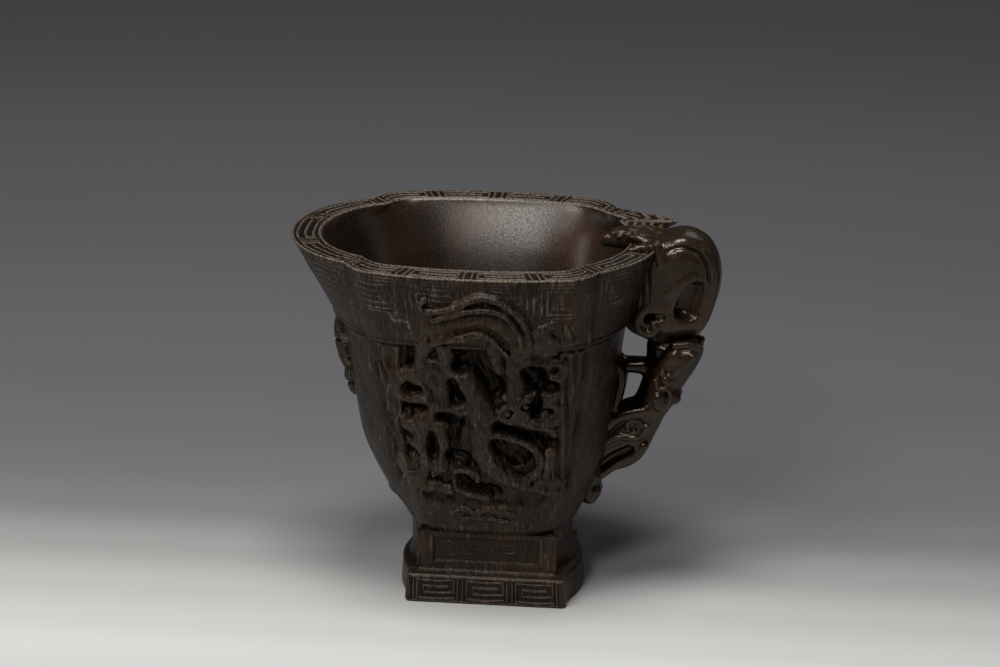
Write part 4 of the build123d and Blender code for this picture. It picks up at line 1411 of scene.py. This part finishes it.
BRANCH_SIDE = [
    (54.0, 82.6), (60.2, 81.2), (62.9, 78.4), (62.6, 75.6), (60.6, 71.4), (58.2, 67.6), (56.2, 63.9),
    (54.4, 60.0), (51.8, 56.1), (50.2, 52.6), (48.8, 49.6), (46.9, 45.3), (44.7, 41.9), (41.2, 39.4),
    (37.0, 37.8), (33.9, 35.9), (32.9, 33.2), (32.6, 30.6), (31.4, 28.2), (28.6, 26.8), (25.6, 29.0),
    (26.0, 36.0), (27.5, 44.0), (31.0, 50.6), (35.5, 55.3), (39.0, 59.8), (41.8, 63.6), (43.2, 67.4),
    (44.2, 71.2), (44.6, 76.0), (44.8, 80.0), (47.6, 82.6),
]
BRANCH_INNER = [(35.5, 55.3), (39.0, 59.8), (41.8, 63.6), (43.2, 67.4), (44.4, 71.2), (45.2, 82.0)]
STRUT_Z = 71.3
STRUT_LAYERS = (-2.0, 0.0, 2.0)
STRUT_BACK = 1.8
# Slim limb beside the bowl, where the strut springs from
ROOT_LIMB = [(37.0, 74.0), (38.5, 71.0), (38.7, 67.0), (37.7, 62.0), (36.2, 57.0)]
# Hollow under the branch's shin, cut and also darkened with painted shade
SHIN_HOLLOW = [(41.6, 46.0), (38.6, 44.5), (35.6, 42.4), (33.8, 40.4)]
# Line between the branch's lit front and its recess, x at each height; the recess is also darkened with
# painted shade
SHADE_Z = (54.0, 57.0, 59.8, 71.8, 80.9)
SHADE_X = (20.0, 40.0, 45.5, 48.5, 55.0)
BRANCH_HEAD = [
    Stroke(ADD, 3.9, 1.2, 0.6, [(54.6, 80.2), (58.8, 80.4), (62.0, 79.4)]),
    Stroke(ADD, 4.0, 0.9, 0.5, [(55.4, 78.4), (59.0, 78.0), (62.0, 77.8)]),
    Stroke(CUT, 5.4, 0.5, 0.3, [(56.0, 79.4), (59.4, 79.3), (62.6, 78.7)]),
    Stroke(ADD, 3.8, 1.8, 1.4, [(54.6, 76.4), (57.0, 76.0), (59.4, 76.8)]),
    Stroke(CUT, 6.8, 1.7, 0.6, [(57.4, 70.6), (60.0, 73.6), (62.4, 76.4)]),
    Stroke(ADD, 5.0, 0.9, 0.6, [(54.0, 70.8), (57.4, 74.2), (60.4, 77.0)]),
]
BELT = [(49.4, 69.2), (50.2, 66.8), (52.8, 66.8), (53.8, 64.8), (53.4, 61.8)]
JOINT_GROOVES = (48.6, 49.8, 51.0)
COIL = [(x, z) for x, z, _ in spiral(43.1, 53.8, 2.7, 1.2, 1.1, 0.05, 0.0)]
THIGH = [(46.2, 59.2), (42.0, 58.2), (38.8, 56.8), (35.4, 53.8), (32.4, 49.6)]
SHIN = [(47.0, 54.2), (44.6, 51.0), (42.0, 50.4), (38.6, 50.6), (34.8, 48.6), (31.0, 44.4)]
BRANCH_LIMBS = [
    Stroke(ADD, 4.7, 1.9, 0.6, [(52.4, 69.6), (53.0, 69.0)]),
    Stroke(ADD, 5.4, 1.0, 0.3, [(51.2, 71.6), (51.4, 71.8)]),
    Stroke(ADD, 5.5, 0.8, 0.4, BELT),
    Stroke(ADD, 3.6, 2.9, 0.7, [(50.2, 63.2), (50.6, 61.6)]),
    *(Stroke(CUT, 6.9, 0.35, 0.3, [(x, 62.6), (x + 0.6, 59.4)]) for x in JOINT_GROOVES),
    Stroke(ADD, 2.4, 2.0, 0.7, [(54.4, 63.8), (54.8, 62.8)]),
    Stroke(CUT, 6.8, 1.6, 0.6, [(43.0, 53.8), (43.6, 54.2)]),
    Stroke(ADD, 5.3, 0.7, 0.6, COIL),
    Stroke(ADD, 4.4, 1.7, 0.9, THIGH),
    Stroke(ADD, 5.4, 0.95, 0.6, SHIN),
    Stroke(CUT, 5.0, 1.8, 0.9, SHIN_HOLLOW),
    Stroke(ADD, 3.6, 1.4, 0.9, [(46.0, 47.4), (42.2, 43.4), (37.4, 40.8), (33.4, 37.6)]),
    Stroke(ADD, 2.0, 2.2, 0.8, [(31.0, 31.2), (29.6, 29.2)]),
]


def past_shade(x, z):
    """How far x lies on the lit side of the shade line."""
    return x - np.interp(z, SHADE_Z, SHADE_X)


def branch_body():
    """Climbing dragon of the handle, rounded towards its edges and set back beside the bowl."""
    clay = Clay((24.0, -8.5, 24.0), (66.0, 8.5, 83.6), HANDLE_PITCH)
    x, y, z = clay.whole()
    flat = (x[:, :, 0], z[0, :, :])
    edge = loop_distance(curve(BRANCH_SIDE, 4, closed=True), *flat)[:, None, :]
    inner = line_distance(*flat, BRANCH_INNER)[:, None, :]
    set_back = 1.4 * fade(0.0, 8.0, inner) * smooth(56.0, 62.0, z)
    half = 2.4 + 3.0 * smooth(0.0, 5.0, -edge) - set_back
    half = half - 1.6 * fade(-2.0, 2.0, past_shade(x, z))
    clay.field = -soft_min(-edge, half - np.abs(y), 1.8)
    for away in STRUT_LAYERS:
        layer = STRUT_BACK + 0.5 * away
        clay.add([(36.0, layer, STRUT_Z, 1.8), (48.0, layer, STRUT_Z, 1.9)], 2.0)
        clay.add([(a, 1.4 * away, b, 1.7) for a, b in curve(ROOT_LIMB, HANDLE_SPANS)], 0.9)
    return clay


def add_branch_details(clay):
    """Wedge head at the upper end, looking out, and the belt, coiled joint and legs below it."""
    for side in SIDES:
        carve(clay, side, BRANCH_HEAD)
        clay.add([(60.8, side * 3.6, 79.4, 0.8), (60.6, side * 3.7, 79.3, 0.8)], 0.2)
    for side in SIDES:
        carve(clay, side, BRANCH_LIMBS)


def make_branch(polished):
    clay = branch_body()
    add_branch_details(clay)
    points, faces, rise = clay.skin()
    x, z = points[:, 0], points[:, 2]
    # Painted shade: the recess behind the shade line and the hollow under the shin lose their rise and
    # take the dark colour
    lit = smooth(-1.5, 1.5, past_shade(x, z))
    lit = lit * smooth(0.8, 2.4, line_distance(x, z, SHIN_HOLLOW))
    rise = rise * (0.1 + 0.9 * lit)
    branch = make_piece("handle_branch_carved", points, faces, [polished], rise)
    dress(branch, "polished_horn", "handle_branch")


# Materials
Shade = namedtuple("Shade", "dark brown amber pale", defaults=[None])
CARVED = Shade(
    dark=(0.0025, 0.0017, 0.0012),
    brown=(0.024, 0.0165, 0.0118),
    amber=(0.06, 0.027, 0.0105),
    pale=(0.17, 0.134, 0.104),
)
POLISHED = Shade(
    dark=(0.003, 0.002, 0.0012),
    brown=(0.027, 0.0163, 0.0104),
    amber=(0.06, 0.0255, 0.0085),
    pale=(0.07, 0.05, 0.035),
)
INNER = Shade(
    dark=(0.003, 0.002, 0.0013),
    brown=(0.013, 0.0075, 0.0045),
    amber=(0.045, 0.018, 0.007),
)
Finish = namedtuple("Finish", "roughness specular grain_depth grain_levels fleck_level patch_levels")
CARVED_FINISH = Finish((0.24, 0.42), 0.22, 1.0, (0.38, 0.64), 0.56, (0.5, 0.68))
POLISHED_FINISH = Finish((0.18, 0.26), 0.32, 0.12, (-0.3, 1.2), 0.54, (0.46, 0.66))
# Marks of rise between which the hollows darken as painted shade, the scuffs begin and the ridges wear
# pale
DARK_RISE = (0.15, 0.5)
SCUFF_RISE = (0.3, 0.5)
WORN_RISE = (0.55, 1.0)
WARM_TINT = (1.0, 0.83, 0.7)
GRAIN_SIZE = 0.45 * MM
FLECK_SIZE = 0.9 * MM
PATCH_SIZE = 14.0 * MM
SCUFF_SIZE = 1.3 * MM
PIT_SIZE = 1.5 * MM
CLOUD_SIZE = 26.0 * MM
PEBBLE_SIZE = 0.55 * MM
GRAIN_STRETCH = 0.06
FLECK_STRETCH = 0.16
PATCH_STRETCH = 0.6
SCUFF_STRETCH = 0.22
PIT_STRETCH = 0.4
CLOUD_STRETCH = 0.8
PEBBLE_STRETCH = 0.7
SCUFF_LEVELS = (0.55, 0.75)
SCUFF_SHARE = 0.45
BUMP_DEPTH = 0.2 * MM
INNER_ROUGHNESS = (0.24, 0.32)
INNER_SPECULAR = 0.36
INNER_BUMP_DEPTH = 0.1 * MM
INNER_TINT = (1.0, 0.92, 0.85)


class Tree:
    """Short words for building one material's nodes."""

    def __init__(self, name):
        self.material = bpy.data.materials.new(name)
        self.material.use_nodes = True
        self.nodes = self.material.node_tree.nodes
        self.shader = self.nodes["Principled BSDF"]

    def feed(self, node, inputs):
        """Gives each named input of a node its value, or a link from a socket."""
        for name, value in inputs.items():
            if isinstance(value, bpy.types.NodeSocket):
                self.material.node_tree.links.new(value, node.inputs[name])
            else:
                node.inputs[name].default_value = value

    def node(self, kind, inputs, **settings):
        """Outputs of a new node, its settings made and its inputs fed."""
        made = self.nodes.new(kind)
        for name, value in settings.items():
            setattr(made, name, value)
        self.feed(made, inputs)
        return made.outputs

    def place(self):
        return self.node("ShaderNodeTexCoord", {})["Object"]

    def noise(self, size, stretch, detail, roughness):
        """Noise drawn out along Z by a stretch under 1."""
        scaling = {"Vector": self.place(), "Scale": (1.0, 1.0, stretch)}
        place = self.node("ShaderNodeMapping", scaling)["Vector"]
        inputs = {"Vector": place, "Scale": 1.0 / size, "Detail": detail, "Roughness": roughness}
        return self.node("ShaderNodeTexNoise", inputs)["Fac"]

    def spread(self, value, low, high, to_low=0.0, to_high=1.0, steps="SMOOTHSTEP"):
        inputs = {"Value": value, "From Min": low, "From Max": high, "To Min": to_low, "To Max": to_high}
        return self.node("ShaderNodeMapRange", inputs, interpolation_type=steps)["Result"]

    def product(self, a, b):
        return self.node("ShaderNodeMath", {0: a, 1: b}, operation="MULTIPLY")["Value"]

    def mixed(self, share, a, b):
        """Colour between a and b, each a colour or a socket; a mixer's colours are inputs 6 and 7."""
        colours = [(*colour, 1.0) if isinstance(colour, tuple) else colour for colour in (a, b)]
        return self.node("ShaderNodeMix", {0: share, 6: colours[0], 7: colours[1]}, data_type="RGBA")[2]

    def bump(self, height, distance, strength, under=None):
        inputs = {"Height": height, "Distance": distance, "Strength": strength}
        if under is not None:
            inputs["Normal"] = under
        return self.node("ShaderNodeBump", inputs)["Normal"]

    def marks(self, name):
        return self.node("ShaderNodeAttribute", {}, attribute_name=name)["Fac"]

    def finish(self, colour, roughness, normal, specular, tint):
        """Sets the shader's inputs and hands over the material."""
        inputs = {"Base Color": colour, "Roughness": roughness, "Normal": normal}
        inputs["Specular IOR Level"] = specular
        inputs["Specular Tint"] = (*tint, 1.0)
        self.feed(self.shader, inputs)
        return self.material


def horn(name, shade, finish):
    """Dark horn: hair-fine grain along Z, amber flecks in patches, painted shade in the hollows, scuffs,
    and paler worn ridges.
    """
    tree = Tree(name)
    grain = tree.noise(GRAIN_SIZE, GRAIN_STRETCH, 3.0, 0.6)
    fleck = tree.noise(FLECK_SIZE, FLECK_STRETCH, 1.5, 0.5)
    patch = tree.noise(PATCH_SIZE, PATCH_STRETCH, 2.0, 0.5)
    scuff = tree.noise(SCUFF_SIZE, SCUFF_STRETCH, 3.0, 0.65)
    pits = tree.noise(PIT_SIZE, PIT_STRETCH, 2.0, 0.5)
    rise = tree.marks("rise")
    tone = tree.mixed(tree.spread(grain, *finish.grain_levels), shade.dark, shade.brown)
    flecks = tree.spread(fleck, finish.fleck_level, finish.fleck_level + 0.2, 0.2, 0.9)
    flecks = tree.product(flecks, tree.spread(patch, *finish.patch_levels))
    tone = tree.mixed(flecks, tone, shade.amber)
    # Painted shade: low rise in the hollows mixes in the dark colour
    tone = tree.mixed(tree.spread(rise, *DARK_RISE), shade.dark, tone)
    scuffed = tree.spread(scuff, *SCUFF_LEVELS, 0.0, SCUFF_SHARE)
    scuffed = tree.product(scuffed, tree.spread(rise, *SCUFF_RISE))
    tone = tree.mixed(scuffed, tone, shade.pale)
    between_grain = tree.spread(grain, *finish.grain_levels, 0.1, 0.9)
    worn = tree.product(tree.spread(rise, *WORN_RISE), between_grain)
    tone = tree.mixed(worn, tone, shade.pale)
    roughness = tree.spread(grain, 0.3, 0.7, *finish.roughness)
    pitted = tree.bump(pits, BUMP_DEPTH, 0.5)
    normal = tree.bump(grain, BUMP_DEPTH, finish.grain_depth, pitted)
    return tree.finish(tone, roughness, normal, finish.specular, WARM_TINT)


def polished_inside(name, shade):
    """Inside of the bowl: glossy, pebbled by wear, with reddish clouds."""
    tree = Tree(name)
    grain = tree.noise(GRAIN_SIZE, GRAIN_STRETCH, 2.0, 0.5)
    clouds = tree.noise(CLOUD_SIZE, CLOUD_STRETCH, 2.0, 0.5)
    pebbles = tree.noise(PEBBLE_SIZE, PEBBLE_STRETCH, 2.0, 0.5)
    tone = tree.mixed(tree.spread(grain, 0.3, 0.75), shade.dark, shade.brown)
    tone = tree.mixed(tree.spread(clouds, 0.42, 0.82, 0.0, 0.6), tone, shade.amber)
    roughness = tree.spread(pebbles, 0.3, 0.7, *INNER_ROUGHNESS)
    normal = tree.bump(pebbles, INNER_BUMP_DEPTH, 0.3)
    return tree.finish(tone, roughness, normal, INNER_SPECULAR, INNER_TINT)


# Stage
FLOOR_HALF = 3.0
# Places from the front to the back of FLOOR_RANGE, and the floor's tone there: painted light, palest just
# in front of the cup and falling off behind it
FLOOR_TONES = [
    (0.0, 0.32), (0.12, 0.37), (0.18, 0.43), (0.225, 0.485), (0.26, 0.55), (0.28, 0.495), (0.308, 0.42),
    (0.34, 0.292), (0.374, 0.182), (0.41, 0.15), (0.445, 0.137), (0.5, 0.125), (0.7, 0.108), (1.0, 0.081),
]
FLOOR_WARM = (1.01, 1.0, 0.97)
FLOOR_COOL = (0.99, 0.99, 1.035)
FLOOR_TURN = 0.36
FLOOR_RANGE = (-0.3, 0.62)
FLOOR_ROUGHNESS = 0.6
FLOOR_SPECULAR = 0.1


def floor_material():
    """Matt studio floor, paler in front than behind: its colour paints the fall-off of the light."""
    tree = Tree("studio_floor")
    along = tree.node("ShaderNodeSeparateXYZ", {"Vector": tree.place()})["Y"]
    along = tree.spread(along, *FLOOR_RANGE, steps="LINEAR")
    tone = tree.node("ShaderNodeValToRGB", {"Fac": along})["Color"]
    ramp = tone.node.color_ramp
    ramp.interpolation = "EASE"
    while len(ramp.elements) < len(FLOOR_TONES):
        ramp.elements.new(0.5)
    for stop, (where, level) in zip(ramp.elements, FLOOR_TONES):
        stop.position = where
        tint = FLOOR_WARM if where < FLOOR_TURN else FLOOR_COOL
        stop.color = (*(level * part for part in tint), 1.0)
    inputs = {"Base Color": tone, "Roughness": FLOOR_ROUGHNESS, "Specular IOR Level": FLOOR_SPECULAR}
    tree.feed(tree.shader, inputs)
    return tree.material


def make_floor_sheet():
    mesh = bpy.data.meshes.new("studio_floor")
    corners = [(-1, -1), (1, -1), (1, 1), (-1, 1)]
    mesh.from_pydata([(FLOOR_HALF * x, FLOOR_HALF * y, 0.0) for x, y in corners], [], [(0, 1, 2, 3)])
    mesh.materials.append(floor_material())
    sheet = bpy.data.objects.new("studio_floor", mesh)
    bpy.context.scene.collection.objects.link(sheet)


Lamp = namedtuple("Lamp", "name place width height watts")
AIM = Vector((0.0, 0.0, 0.07))
LAMPS = [
    Lamp("key_softbox", (-0.42, -0.5, 0.95), 0.34, 0.3, 3.6),
    Lamp("front_softbox", (-0.2, -0.80, 0.76), 0.28, 0.22, 3.7),
    Lamp("top_softbox", (-0.02, -0.2, 1.12), 0.36, 0.3, 9.5),
    Lamp("back_softbox", (0.3, 0.8, 0.85), 0.5, 0.4, 0.8),
    Lamp("left_softbox", (-0.95, -0.3, 0.5), 0.26, 0.45, 1.2),
    Lamp("right_softbox", (1.0, -0.1, 0.6), 0.3, 0.5, 0.2),
]
WORLD_TONE = (0.32, 0.32, 0.34)
WORLD_STRENGTH = 0.06
CAMERA_PLACE = (0.14364, -1.15239, 0.52561)
CAMERA_TURN = (69.0, 0.0, 7.0)
CAMERA_LENS = 150.0
CAMERA_SENSOR = 36.0


def make_lights():
    for lamp in LAMPS:
        data = bpy.data.lights.new(lamp.name, "AREA")
        data.shape = "RECTANGLE"
        data.size = lamp.width
        data.size_y = lamp.height
        data.energy = lamp.watts
        light = bpy.data.objects.new(lamp.name, data)
        light.location = lamp.place
        light.rotation_euler = (AIM - Vector(lamp.place)).to_track_quat("-Z", "Y").to_euler()
        bpy.context.scene.collection.objects.link(light)
    world = bpy.data.worlds.new("studio")
    world.use_nodes = True
    sky = world.node_tree.nodes["Background"]
    sky.inputs["Color"].default_value = (*WORLD_TONE, 1.0)
    sky.inputs["Strength"].default_value = WORLD_STRENGTH
    bpy.context.scene.world = world


def make_camera():
    data = bpy.data.cameras.new("camera")
    data.lens = CAMERA_LENS
    data.sensor_width = CAMERA_SENSOR
    camera = bpy.data.objects.new("camera", data)
    camera.location = CAMERA_PLACE
    camera.rotation_euler = [math.radians(turn) for turn in CAMERA_TURN]
    bpy.context.scene.collection.objects.link(camera)
    bpy.context.scene.camera = camera


def main():
    carved = horn("carved_horn_grain", CARVED, CARVED_FINISH)
    polished = horn("polished_horn_grain", POLISHED, POLISHED_FINISH)
    inner = polished_inside("inner_horn_polish", INNER)
    make_bowl(carved, inner)
    make_floor(inner)
    make_stem(carved)
    make_plinth(carved)
    make_reliefs(carved)
    make_spout_dragon(carved)
    make_scroll(polished)
    make_branch(polished)
    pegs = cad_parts["handle_pegs"]
    pegs.data.materials.clear()
    pegs.data.materials.append(polished)
    make_floor_sheet()
    make_lights()
    make_camera()
    bpy.context.scene.view_settings.view_transform = "Standard"


main()
